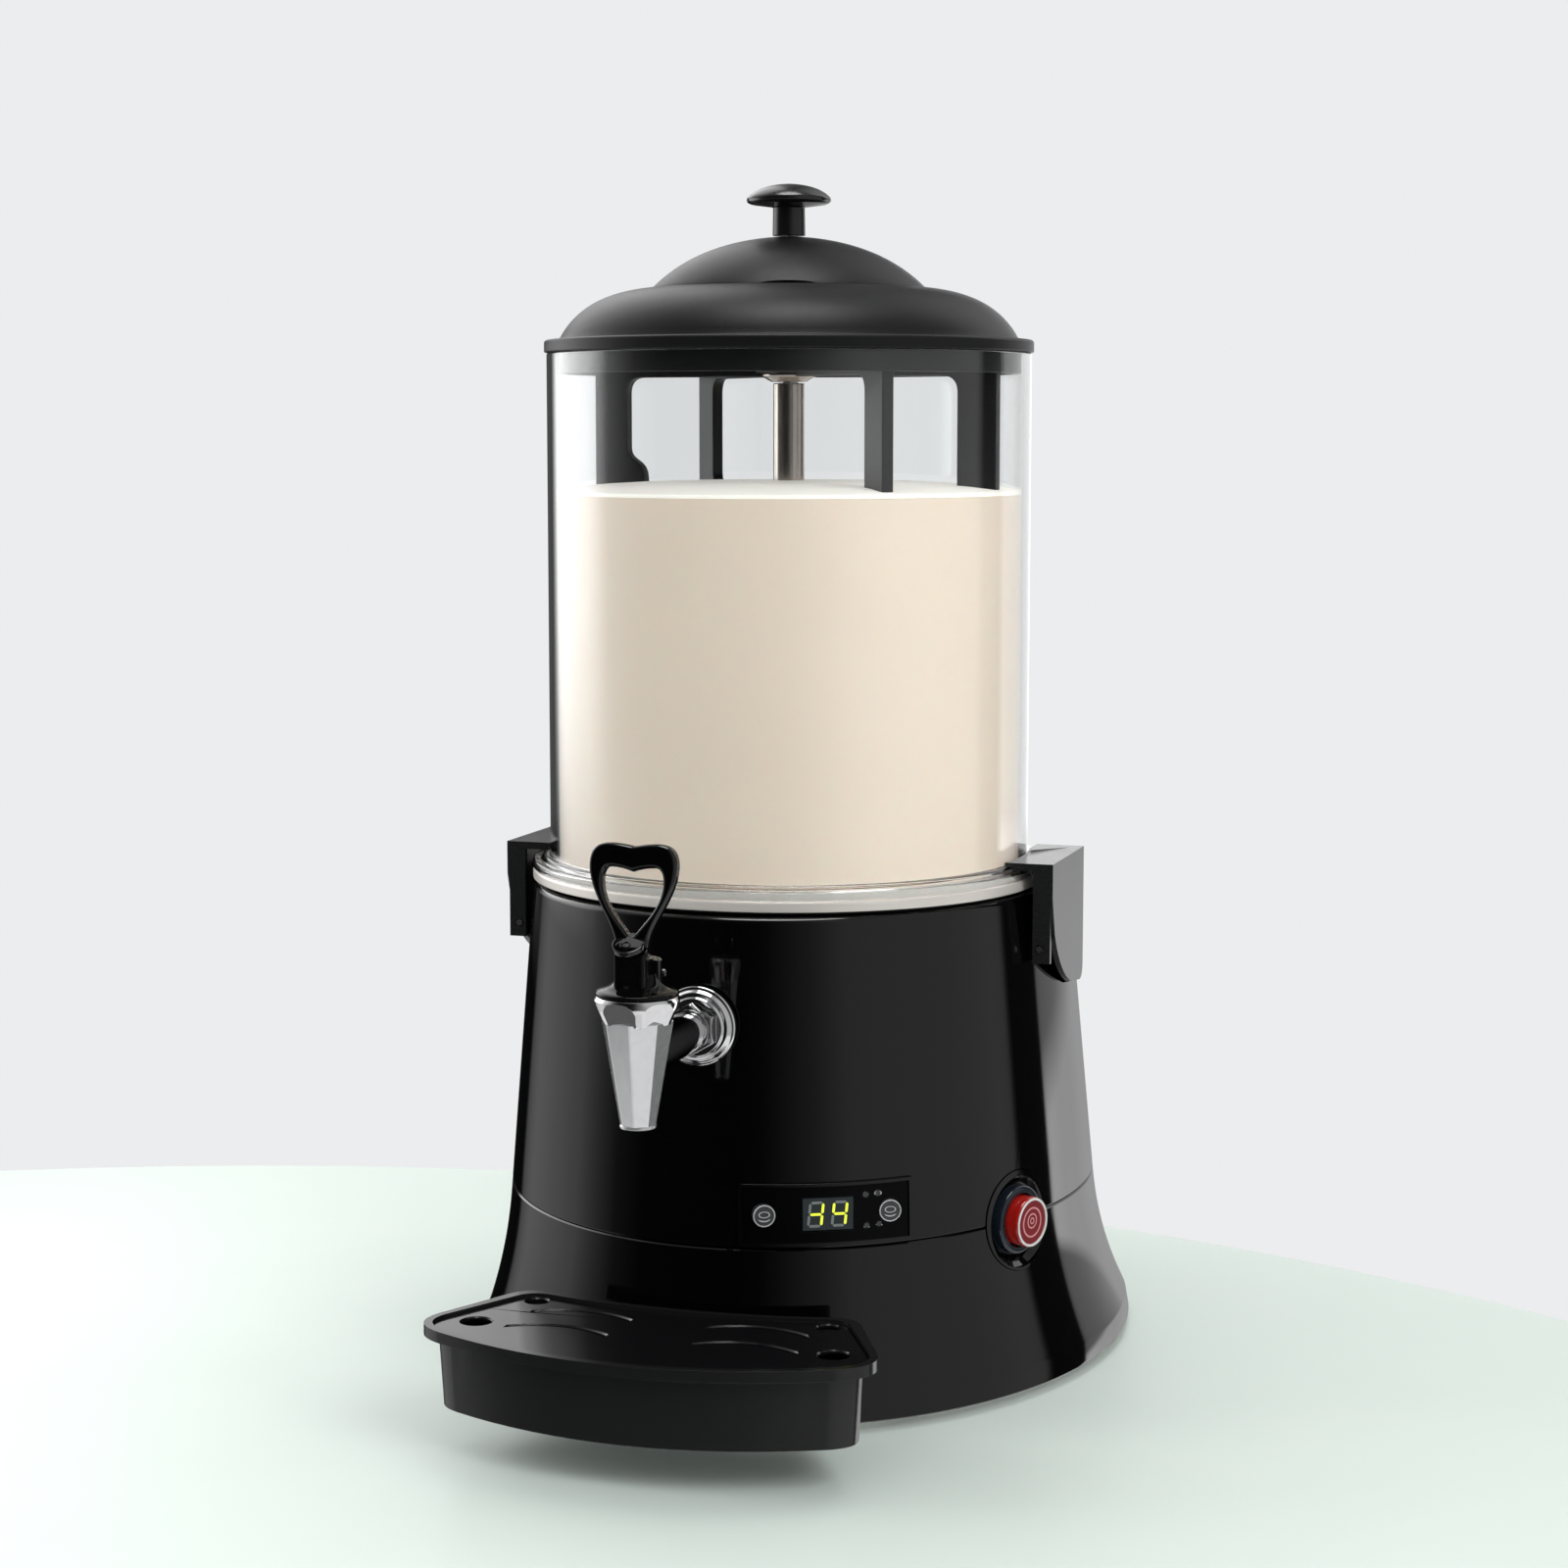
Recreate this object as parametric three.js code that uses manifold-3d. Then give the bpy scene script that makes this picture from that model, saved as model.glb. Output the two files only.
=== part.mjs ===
// Hot drink dispenser: a clear tank on a heated water bath, a turning stirrer, a lever tap,
// two side latches, a small control panel and a pull-out drip tray.
// Millimetres, +Z up. The tap faces -Y. The stirrer turns on the upright line x = 0, y = 0 of
// the machine group, and heights in that group are counted from the lower edge of the casing.

import * as THREE from 'three';
import { mergeVertices } from 'three/addons/utils/BufferGeometryUtils.js';
import Module from 'manifold-3d';

const wasm = await Module();
wasm.setup();

// Clearances that every fit is worked out from
const seatGap = 0.3;
const runGap = 0.8;
const overrun = 1;
const weld = 1e-4;

// Sides of round pieces
const roundSides = 40;
const midSides = 24;
const smallSides = 16;
const tinySides = 8;

// Clear tank, whose radius the rest follows
const tankRadius = 102;
const tankWall = 3.5;
const tankHeight = 216.4;
const flangeWidth = 7.7;
const flangeRadius = tankRadius + flangeWidth;
const flangeThickness = 3.4;
const flangeStepWidth = 2.9;
const flangeStepHeight = 1.8;
const sealSeatWidth = 2;
const sealSeatRadius = tankRadius + sealSeatWidth;
const sealSeatHeight = 2.2;

// Casing: half width, front and back reach of its oval plan at three heights
const casingHeight = 199;
const seamHeight = 68;
const lipHeight = 9.5;
const lipProud = 1.8;
const deckWidths = [11.8, 11.8, 53];
const sideSpreads = [11.6, 9.2, 16];
const flareSpreads = [13, 12.4, 28.1];
const topReach = deckWidths.map((width) => tankRadius + width);
const seamReach = topReach.map((reach, i) => reach + sideSpreads[i]);
const footReach = seamReach.map((reach, i) => reach + flareSpreads[i]);
const flareShare = 0.34;
const flarePower = 2.1;
const flareSteps = 4;
const casingWall = 3;
const edgeRound = 2.5;
const edgeShares = [0, 0.5, 1];
const seamGap = 0.5;
const lapDepth = 6;
const lapWall = 2.2;

// Underside
const footProud = 4;
const footRadius = 12;
const footSeat = 2;
const footInset = 30;
const footAngleShares = [0.22, 0.78, 1.22, 1.78];
const bottomThickness = 2;
const postRadius = 5;
const postHeight = 12;
const postSink = 1.5;
const postAngleShares = [0.45, 0.86, 1.14, 1.55];
const screwRadius = 1.6;
const screwHeadRadius = 3.2;
const screwHeadHeight = 1.3;
const screwLength = 8;

// Water bath pan, its rim above the casing, and the product bowl
const panRimRise = 5.9;
const panRimTop = casingHeight + panRimRise;
const panRimHeight = 4.4;
const panRimWidth = 7.5;
const panRimRadius = tankRadius + panRimWidth;
const panLedgeWidth = 2.4;
const panLedgeRadius = tankRadius + panLedgeWidth;
const panLedgeDrop = 2.3;
const panInset = 0.4;
const panRadius = tankRadius - panInset;
const panWall = 1.5;
const panDepth = 80.9;
const panBottom = panRimTop - panDepth;
const bowlRise = 23;
const bowlBottom = panBottom + bowlRise;
const bowlInset = 5;
const bowlRadius = tankRadius - bowlInset;
const bowlWall = 1.4;
const bowlChamfer = 6;
const gasketHeight = 1;
const gasketWidth = 4.5;

// Heights of the tank on the pan's rim
const tankFoot = panRimTop + seatGap;
const tankTop = tankFoot + tankHeight;

// Stirrer drive
const tubeRadius = 6.6;
const tubeWall = 2;
const tubeTail = 6.5;
const tubeBottom = panBottom - tubeTail;
const tubeDrop = 12.3;
const tubeTop = tankTop - tubeDrop;
const tubeFlangeRadius = 12;
const tubeFlangeHeight = 3;
const shaftRadius = 4;
const shaftDrop = 36;
const shaftBottom = panBottom - shaftDrop;
const nutWidth = 12;
const nutHeight = 5.2;
const collarRadius = 8;
const collarHeight = 4.4;
const bushRise = 1.4;
const bushTop = tankTop + bushRise;
const bushFlareRadius = 11.5;
const bushNeckHeight = 9.5;
const bushFlareHeight = 1.4;
const bushFlareTop = bushTop - bushNeckHeight;
const bushFlareBottom = bushFlareTop - bushFlareHeight;
const bushNeckRadius = 8;
const hubRadius = 14;
const hubThickness = 1.4;

// Stirrer: two crossed flat frames
const frameAngleShares = [0.455, 0.233];
const frameGap = 8.4;
const frameReach = tankRadius - frameGap;
const frameRib = 16.5;
const frameThickness = 5;
const frameDrop = 1.6;
const frameTop = tankTop - frameDrop;
const frameFloorGap = 11;
const frameBottom = bowlBottom + frameFloorGap;
const frameTopBar = 8;
const frameBottomBar = 9;
const frameRound = 7;
const frameBulge = 8.5;
const bulgeDrops = [38.2, 49.2];
const bulgeLength = 26;

// Motor and gearbox under the bath
const gearboxSize = [74, 54, 26];
const motorRadius = 27;
const motorFloorGap = 22.7;
const bracketInset = 16.6;
const bracketSpan = (panRadius - bracketInset) * 2;
const bracketDepth = 50;
const bracketPlate = 2;
const bracketFlange = 14;
const bracketDrop = 15.4;
const motorScrewSpan = [56, 34];

// Heater and its guards
const heaterInset = 31.6;
const heaterRing = panRadius - heaterInset;
const heaterRod = 4;
const heaterRise = 10;
const heaterHeight = panBottom + heaterRise;
const heaterLegDrop = 22;
const probeRadius = 2.2;
const probeInset = 19;
const probeReach = heaterRing - probeInset;
const probeTurnShare = 0.133;
const probeTurn = probeTurnShare * Math.PI;
const probePlace = [probeReach * Math.cos(probeTurn), probeReach * Math.sin(probeTurn)];
const probeRise = 20;
const probeTop = panBottom + probeRise;
const probeNutRadius = 5.5;
const cutoutPlace = [-45, 45];
const cutoutRadius = 9;
const cutoutHeight = 6.5;

// Lid and knob
const lidOverhang = 1;
const lidRimRadius = tankRadius + lidOverhang;
const lidSeat = 0.4;
const lidRimThickness = 5.2;
const lidShoulderInset = 5.6;
const lidShoulderRadius = tankRadius - lidShoulderInset;
const lidShoulderRise = 0.9;
const lidStepInset = 44;
const lidStepRadius = tankRadius - lidStepInset;
const lidStepRise = 27.1;
const lidStepHeight = tankTop + lidStepRise;
const lidDomeRise = 48.8;
const lidDomeHeight = tankTop + lidDomeRise;
const lidThickness = 2.2;
const lowBulgeShares = [0.74, 0.9];
const highBulgeShares = [0.64, 0.95];
const domeSteps = 3;
const innerDomeSteps = 2;
const skirtDepth = 9;
const skirtWall = 2.2;
const knobStemRadius = 6.4;
const knobFootRadius = 7.4;
const knobFootHeight = 1.8;
const knobHeight = 21.5;
const knobCapRadius = 17.9;
const knobCapHeight = 9.6;
const knobEdgeShare = 0.28;
const knobScrewLength = 8;

// Tap
const outletRise = 9.4;
const tapHeight = bowlBottom + outletRise;
const tapStandoff = 74.2;
const tapReach = topReach[1] + tapStandoff;
const pipeRadius = 5.5;
const pipeWall = 1.5;
const pipeEnd = 12;
const washerRadius = 14;
const washerThickness = 1;
const rosetteRadius = 16;
const rosetteThickness = 5.5;
const rosetteFaceRadius = 12;
const tapNutRadius = 10.6;
const tapNutThickness = 6;
const neckRadius = 8.2;
const crownRise = 24.6;
const crownTop = tapHeight + crownRise;
const crownRadius = 16.3;
const crownEdge = 1.8;
const collarRise = 15;
const collarBottom = tapHeight + collarRise;
const coneTopRadius = 13.6;
const coneDrop = 22.4;
const coneBottom = tapHeight - coneDrop;
const coneFootRadius = 6.9;
const coneSides = 8;
const spoutDrop = 25.9;
const spoutBottom = tapHeight - spoutDrop;
const spoutRadius = 7.3;
const spoutBore = 4.6;
const valveSeatDrop = 6.4;
const valveSeat = tapHeight - valveSeatDrop;
const chamberRadius = 6.8;
const stemRadius = 2.2;
const stemRise = 3.3;
const stemTop = crownTop + stemRise;
const discRadius = 6.2;
const discHeight = 3.2;
const valveLift = 5;

// Tap bonnet, the black fitting on top of the tap body
const spigotLength = 10.5;
const skirtRadius = 15.8;
const skirtEdge = 1.6;
const skirtRise = 5.6;
const skirtTopRadius = 9.6;
const blockWidth = 12.2;
const blockFront = 12;
const blockRise = 11.6;
const blockTop = crownTop + blockRise;
const tongueWidth = 6.8;
const rearWidth = 17.2;
const rearDepth = 10.5;
const rearRise = 13.2;
const rearTop = crownTop + rearRise;
const pivotForward = 5;
const pivotRise = 15.3;
const pivotHeight = crownTop + pivotRise;
const knuckleRadius = 3.6;
const pinRadius = 1.4;
const lockPinBack = 6.2;
const lockPinRise = 7.6;
const lockPinHeight = crownTop + lockPinRise;

// Heart-shaped lever
const leverThickness = 6;
const leverLean = THREE.MathUtils.degToRad(5);
const leverFoot = 4.1;
const leverFootHalf = 6.5;
const leverHalf = 17.2;
const leverShoulder = 33.5;
const leverLobe = 9.2;
const leverTop = 41.8;
const leverDip = 39.2;
const loopApex = 6.6;
const loopHalf = 10.6;
const loopShoulder = 26;
const loopTop = 32.2;
const loopDip = 30.6;

// Side latches
const latchFront = -23;
const latchBack = 37;
const latchLip = 3.1;
const latchTop = tankFoot + flangeThickness + runGap + latchLip;
const latchFaceGap = 7.2;
const latchFace = topReach[0] + latchFaceGap;
const latchPlate = 2.3;
const latchLipCover = 1.5;
const latchLipReach = tankRadius - latchLipCover;
const latchLength = 56.9;
const latchTail = latchTop - latchLength;
const latchTailShares = [0.08, 0.25, 0.62, 0.9];
const tailHeightShares = [0.72, 0.42, 0.1, 0.2];
const webThickness = 2.6;
const webWidth = 8.4;
const webInner = latchFace - webWidth;
const rearWebWidth = 4.4;
const rearWebInner = latchFace - rearWebWidth;
const latchPivotDepth = 5.4;
const latchPivotDrop = 35.5;
const latchPivot = [latchFace - latchPivotDepth, latchTop - latchPivotDrop];
const latchPinRadius = 1.5;
const webDrop = 6;
const lugFront = -3.7;
const lugRise = 5.5;
const hingeLugWidth = 14.5;
const hingeLugInner = latchFace - hingeLugWidth;

// Control panel: centre along the casing, width and height
const panelAngle = THREE.MathUtils.degToRad(24);
const panelRise = 14;
const panelMiddle = seamHeight + panelRise;
const panelWidth = 70;
const panelHeight = 24.6;
const panelThickness = 1.5;
const panelLand = 2.5;
const keyRadius = 4.5;
const keyOffset = 25.4;
const keyProud = 1;
const keyLength = 9;
const keyTravel = 0.8;
const windowSize = [20.4, 13];
const windowThickness = 3;
const lampRadius = 1.1;
const lampLength = 7;
const guideThickness = 1.5;
const lampPlaces = [[15.4, 7], [20.5, 7.2], [15.8, -5.4], [21, -5.2]];
const boardSize = [64, 22];
const boardThickness = 1.6;
const boardDepth = 17;
const moduleDepth = 7;

// Power switch on the right
const switchAngle = THREE.MathUtils.degToRad(63.5);
const switchDrop = 0.6;
const switchHeight = seamHeight - switchDrop;
const cupRadius = 20.5;
const cupRim = 0.9;
const cupDepth = 4;
const cupFloorRadius = 15.4;
const cupWall = 2.4;
const bezelRadius = 14.2;
const bezelProud = 1.5;
const bezelSink = 3;
const capRadius = 10.4;
const capProud = 7.3;
const capSink = 9;
const capRound = 1;
const switchBodyRadius = 13;
const switchBodyDepth = 16;

// Mains inlet at the back of the lower casing
const inletSize = [28, 20];
const inletHeight = 36;
const inletDepth = 20;
const inletProud = 1.5;
const inletWall = 2;
const bladeSize = [4, 2, 11];
const bladePitch = 7;

// Drip tray: corners of its rim before rounding, counted from the casing's foot
const trayStandoff = 3.6;
const trayBack = footReach[1] + trayStandoff;
const trayDepth = 76.5;
const trayFront = trayBack + trayDepth;
const trayCornerHalf = 96;
const trayCornerDepth = 48;
const trayBackHalf = 69;
const trayBackHollow = 9.5;
const trayFrontRound = 17;
const trayBackRound = 11;
const trayBottom = 14;
const trayRimTop = 46.7;
const trayRimHeight = 1.7;
const trayRimWidth = 3.5;
const trayNeckInset = 2;
const trayBodyInset = 4;
const trayWall = 2.3;
const trayDraftShare = 0.988;
const ledgeThickness = 2;
const plateThickness = 2;
const plateSink = 2.2;
const tonguePlaces = 42;
const tongueSize = [16, 30, 3];
const tongueBottom = 28;
const drainHoles = [[72.6, 35.3, 6.05], [60.5, 2.3, 4.6]];
const slotWidth = 2.4;
const slotRise = 6.5;
const slotRows = [[36.5, 18, 59], [15, 16, 57]];
const curveSteps = 6;

// Finishes
const blackGloss = { color: 0x0c0c0e, roughness: 0.12, metalness: 0 };
const blackSatin = { color: 0x151517, roughness: 0.42, metalness: 0 };
const blackRubber = { color: 0x101010, roughness: 0.8, metalness: 0 };
const clearPlastic = { color: 0xf2f6f8, roughness: 0.05, metalness: 0, transparent: true, opacity: 0.3 };
const steel = { color: 0xc4c4c2, roughness: 0.28, metalness: 1 };
const chrome = { color: 0xe6e6e8, roughness: 0.06, metalness: 1 };
const zincPlate = { color: 0xa9aaa8, roughness: 0.4, metalness: 1 };
const redLens = { color: 0xb8150f, roughness: 0.2, metalness: 0 };
const smokedWindow = { color: 0x2c3338, roughness: 0.1, metalness: 0 };
const greenBoard = { color: 0x1d5a35, roughness: 0.5, metalness: 0 };
const silicone = { color: 0xd8d4cc, roughness: 0.6, metalness: 0 };
const paleLens = { color: 0xdfe6e8, roughness: 0.3, metalness: 0 };
const keyGrey = { color: 0x9aa0a6, roughness: 0.3, metalness: 0 };

const machine = new THREE.Group();

// Turns a closed geometry into a solid for joining and cutting
function solid(geometry) {
  let merged = geometry;
  if (!geometry.userData.closed) {
    merged = geometry.clone();
    merged.deleteAttribute('normal');
    merged.deleteAttribute('uv');
    merged = mergeVertices(merged, weld);
  }
  const at = merged.attributes.position;
  const corners = merged.index.array;
  const kept = [];
  const [a, b, c] = [new THREE.Vector3(), new THREE.Vector3(), new THREE.Vector3()];
  let volume = 0;
  for (let i = 0; i < corners.length; i += 3) {
    const [p, q, r] = [corners[i], corners[i + 1], corners[i + 2]];
    if (p === q || q === r || r === p) continue;
    kept.push(p, q, r);
    a.fromBufferAttribute(at, p);
    b.fromBufferAttribute(at, q);
    c.fromBufferAttribute(at, r);
    volume += a.dot(b.cross(c));
  }
  if (volume < 0) kept.reverse();
  return new wasm.Manifold(new wasm.Mesh({
    numProp: 3,
    vertProperties: new Float32Array(at.array),
    triVerts: new Uint32Array(kept),
  }));
}

function geometryOf(body) {
  const { vertProperties, triVerts, numProp } = body.getMesh();
  const geometry = new THREE.BufferGeometry();
  geometry.setAttribute('position', new THREE.BufferAttribute(new Float32Array(vertProperties), numProp));
  geometry.setIndex(new THREE.BufferAttribute(new Uint32Array(triVerts), 1));
  geometry.userData.closed = true;
  return geometry;
}

function join(...parts) {
  return geometryOf(parts.map(solid).reduce((whole, part) => whole.add(part)));
}

function cut(from, ...tools) {
  return geometryOf(tools.map(solid).reduce((whole, tool) => whole.subtract(tool), solid(from)));
}

function common(one, other) {
  return geometryOf(solid(one).intersect(solid(other)));
}

// Adds one named piece to the machine
function piece(name, geometry, finish) {
  const whole = geometryOf(solid(geometry));
  whole.computeVertexNormals();
  const mesh = new THREE.Mesh(whole, new THREE.MeshStandardMaterial(finish));
  mesh.name = name;
  machine.add(mesh);
}

// A round piece from its half section, given as radius and height pairs
function turned(section, sides = roundSides) {
  const points = section.map(([radius, height]) => new THREE.Vector2(radius, height));
  if (section[0][0] > 0) points.push(points[0].clone());
  const geometry = new THREE.LatheGeometry(points, sides);
  geometry.rotateX(Math.PI / 2);
  return geometry;
}

function rod(radius, low, high, sides = smallSides) {
  return turned([[0, low], [radius, low], [radius, high], [0, high]], sides);
}

function washer(inner, outer, low, high, sides = roundSides) {
  return turned([[inner, low], [outer, low], [outer, high], [inner, high]], sides);
}

// A rod along Y from one y to another, at a height
function rodAlongY(radius, from, to, x, z, sides = smallSides) {
  const geometry = rod(radius, from, to, sides);
  geometry.rotateX(-Math.PI / 2);
  geometry.translate(x, 0, z);
  return geometry;
}

function rodAlongX(radius, half, y, z, sides = smallSides) {
  const geometry = rod(radius, -half, half, sides);
  geometry.rotateY(Math.PI / 2);
  geometry.translate(0, y, z);
  return geometry;
}

function placed(geometry, [x, y]) {
  geometry.translate(x, y, 0);
  return geometry;
}

// A box from its low corner to its high corner
function block([x0, y0, z0], [x1, y1, z1]) {
  const geometry = new THREE.BoxGeometry(x1 - x0, y1 - y0, z1 - z0);
  geometry.translate((x0 + x1) / 2, (y0 + y1) / 2, (z0 + z1) / 2);
  return geometry;
}

function extruded(shape, thickness, steps = curveSteps) {
  return new THREE.ExtrudeGeometry(shape, { depth: thickness, bevelEnabled: false, curveSegments: steps });
}

function hexagon(radius, low, high) {
  return turned([[0, low], [radius, low], [radius, high], [0, high]], 6);
}

// Points along a bend between two corners
function bend([x0, y0], [cx, cy], [x1, y1], steps) {
  const curve = new THREE.QuadraticBezierCurve(
    new THREE.Vector2(x0, y0), new THREE.Vector2(cx, cy), new THREE.Vector2(x1, y1));
  return curve.getPoints(steps).map((point) => [point.x, point.y]);
}

// Half width, front and back reach of the casing at a height
function reachAt(height) {
  if (height >= seamHeight) {
    const share = (height - seamHeight) / (casingHeight - seamHeight);
    return seamReach.map((value, i) => value + (topReach[i] - value) * share);
  }
  const drop = Math.min((seamHeight - height) / (seamHeight - lipHeight), 1);
  const share = flareShare * drop + (1 - flareShare) * drop ** flarePower;
  return seamReach.map((value, i) => value + (footReach[i] - value) * share);
}

// The oval of the casing at a height, grown or shrunk: half width, half depth and middle
function ovalAt(height, grow = 0) {
  const [side, front, back] = reachAt(height);
  return { side: side + grow, half: (front + back) / 2 + grow, middle: (back - front) / 2 };
}

// A solid with the oval plan of the casing, from rings of height and growth
function ovalSolid(rings, sides = roundSides) {
  const section = [[0, rings[0][0]], ...rings.map(([height]) => [1, height]), [0, rings.at(-1)[0]]];
  const geometry = turned(section, sides);
  const at = geometry.attributes.position;
  for (let i = 0; i < at.count; i += 1) {
    const order = THREE.MathUtils.clamp((i % section.length) - 1, 0, rings.length - 1);
    const { side, half, middle } = ovalAt(...rings[order]);
    at.setXY(i, at.getX(i) * side, middle + at.getY(i) * half);
  }
  return geometry;
}

// A point of the casing's face at an angle from the front and a height, with its outward turn
function onCasing(angle, height, grow = 0) {
  const { side, half, middle } = ovalAt(height, grow);
  const point = new THREE.Vector3(side * Math.sin(angle), middle - half * Math.cos(angle), height);
  const outward = Math.atan2(Math.sin(angle) / side, Math.cos(angle) / half);
  return { point, outward };
}

// Moves a geometry drawn with +Z outward and +Y up onto the casing's face
function faceOut(geometry, place, across = 0, up = 0) {
  geometry.translate(across, up, 0);
  geometry.rotateX(Math.PI / 2);
  geometry.rotateZ(place.outward);
  geometry.translate(place.point.x, place.point.y, place.point.z);
  return geometry;
}

// Places that several pieces share
const panRimBottom = panRimTop - panRimHeight;
const panLedge = panRimTop - panLedgeDrop;
const tubeHole = tubeRadius + seatGap;
const panelPlace = onCasing(panelAngle, panelMiddle);
const switchPlace = onCasing(switchAngle, switchHeight);
const casingFrontAtTap = reachAt(tapHeight)[1];
const tapAxis = -tapReach;
const pivotY = tapAxis - pivotForward;
const pipeHole = pipeRadius + seatGap;

const lowerTop = seamHeight - seamGap / 2;
const flareHeights = Array.from({ length: flareSteps + 1 },
  (_, i) => lipHeight + (lowerTop - lipHeight) * i / flareSteps);

// Shapes that cut the casing as well as fill it
const latchTools = [1, -1].flatMap((hand) => [latchOutline(hand, runGap), latchWindow(hand)]);
const switchHole = faceOut(rod(cupRadius + seatGap, -capSink - overrun, capProud, midSides), switchPlace);
const postLow = footSeat + bottomThickness + seatGap;
const postTop = postLow + postHeight;
const postInset = -(casingWall + postRadius - postSink);
const mainScrews = postAngleShares.map((share) => {
  const ends = [postLow, postTop].map((height) => ringPlace(share * Math.PI, height, postInset));
  return ends.reduce((near, end) => (Math.hypot(...end) < Math.hypot(...near) ? end : near));
});

function ringPlace(angle, height, grow) {
  const { side, half, middle } = ovalAt(height, grow);
  return [side * Math.sin(angle), middle - half * Math.cos(angle)];
}

// Upper casing: a thin shell with a deck round the bath and a lap that drops into the lower casing
function upperCasing() {
  const low = seamHeight + seamGap / 2;
  const outer = ovalSolid([[low, 0],
    ...edgeShares.map((share) => [
      casingHeight - edgeRound * (1 - Math.sin(share * Math.PI / 2)),
      -edgeRound * (1 - Math.cos(share * Math.PI / 2))])]);
  const inner = ovalSolid([[low - overrun, -casingWall], [casingHeight - casingWall, -casingWall]]);
  const lap = cut(
    ovalSolid([[low - lapDepth, -casingWall - seatGap], [low - seatGap, -casingWall - seatGap],
      [low, -casingWall + seatGap], [low + lapDepth, -casingWall + seatGap]]),
    ovalSolid([[low - lapDepth - overrun, -casingWall - lapWall], [low + lapDepth + overrun, -casingWall - lapWall]]));
  const shell = join(cut(outer, inner), lap);
  const lugs = [hingeLug(1), hingeLug(-1)];
  return cut(join(shell, ...lugs),
    rod(panRadius + seatGap, casingHeight - casingWall - overrun, casingHeight + overrun, roundSides),
    rodAlongY(pipeHole, -casingFrontAtTap - overrun, -panRadius, 0, tapHeight),
    switchHole, panelCutout(), ...latchTools);
}

// The opening in the casing that the panel covers
function panelCutout() {
  const half = [panelWidth / 2 - panelLand, panelHeight / 2 - panelLand];
  return faceOut(block([-half[0], -half[1], -panelHeight], [half[0], half[1], panelHeight]), panelPlace);
}

// Openings in the panel: the display, two keys and four lamps
function panelOpenings(depth) {
  const [wide, high] = windowSize;
  const display = block([-wide / 2 - seatGap, -high / 2 - seatGap, -depth], [wide / 2 + seatGap, high / 2 + seatGap, depth]);
  const keys = [-1, 1].map((hand) => faceOut(
    rod(keyRadius + seatGap, -depth - panelDip(), depth), panelPlace, hand * keyOffset, 0));
  const lamps = lampPlaces.map(([across, up]) => faceOut(
    rod(lampRadius + seatGap, -depth - panelDip(), depth, tinySides), panelPlace, across, up));
  return [faceOut(display, panelPlace), ...keys, ...lamps];
}

// How far the casing curves back at the keys
function panelDip() {
  return keyOffset ** 2 / (2 * (seamReach[0] + seamReach[1]) / 2);
}

// Lower casing: a flared shell with a foot lip, screw posts and slots for the tray
function lowerCasing() {
  const outer = ovalSolid([[0, lipProud], [lipHeight - lipProud, lipProud],
    ...flareHeights.map((height) => [height, 0])]);
  const inner = ovalSolid([[-overrun, -casingWall], ...flareHeights.map((height) => [height, -casingWall]),
    [seamHeight + overrun, -casingWall]]);
  const posts = mainScrews.map(([x, y]) => {
    const post = washer(screwRadius, postRadius, postLow, postTop, tinySides);
    post.translate(x, y, 0);
    return post;
  });
  const slots = [-1, 1].map((hand) => tongue(hand, seatGap));
  const { back } = casingBack(inletHeight);
  const inlet = block([-inletSize[0] / 2 - seatGap, back - inletDepth, inletHeight - inletSize[1] / 2 - seatGap],
    [inletSize[0] / 2 + seatGap, back + inletDepth, inletHeight + inletSize[1] / 2 + seatGap]);
  const shell = cut(outer, inner);
  return cut(join(shell, ...posts), switchHole, inlet, ...slots);
}

function casingBack(height) {
  return { back: reachAt(height)[2] };
}

// One of the two tongues on the drip tray, or with growth the slot that it enters
function tongue(hand, grow) {
  const [wide, long, thick] = tongueSize;
  const middle = hand * tonguePlaces;
  return block([middle - wide / 2 - grow, -trayBack - trayBodyInset + overrun, tongueBottom - grow],
    [middle + wide / 2 + grow, -trayBack + long + grow, tongueBottom + thick + grow]);
}

piece('upper_casing', upperCasing(), blackGloss);
piece('lower_casing', lowerCasing(), blackGloss);

// Bottom plate, its screws and the rubber feet
const plateTop = footSeat + bottomThickness;
const feetAt = footAngleShares.map((share) => ringPlace(share * Math.PI, plateTop, -footInset));
const bottomPlate = cut(
  ovalSolid([[footSeat, -casingWall - seatGap], [plateTop, -casingWall - seatGap]]),
  ...mainScrews.map(([x, y]) => {
    const hole = rod(screwRadius + seatGap, 0, plateTop + overrun, tinySides);
    hole.translate(x, y, 0);
    return hole;
  }));
piece('bottom_plate', bottomPlate, zincPlate);

mainScrews.forEach((at, i) => {
  const head = footSeat - seatGap;
  piece(`bottom_screw_${i + 1}`, placed(turned([[0, head - screwHeadHeight], [screwHeadRadius, head - screwHeadHeight],
    [screwHeadRadius, head], [screwRadius - seatGap, head], [screwRadius - seatGap, head + screwLength],
    [0, head + screwLength]], tinySides), at), zincPlate);
});

feetAt.forEach((at, i) => {
  piece(`rubber_foot_${i + 1}`, placed(turned([[0, -footProud], [footRadius - edgeRound, -footProud],
    [footRadius, -footProud + edgeRound], [footRadius, footSeat - seatGap], [0, footSeat - seatGap]], smallSides),
  at), blackRubber);
});

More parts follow.
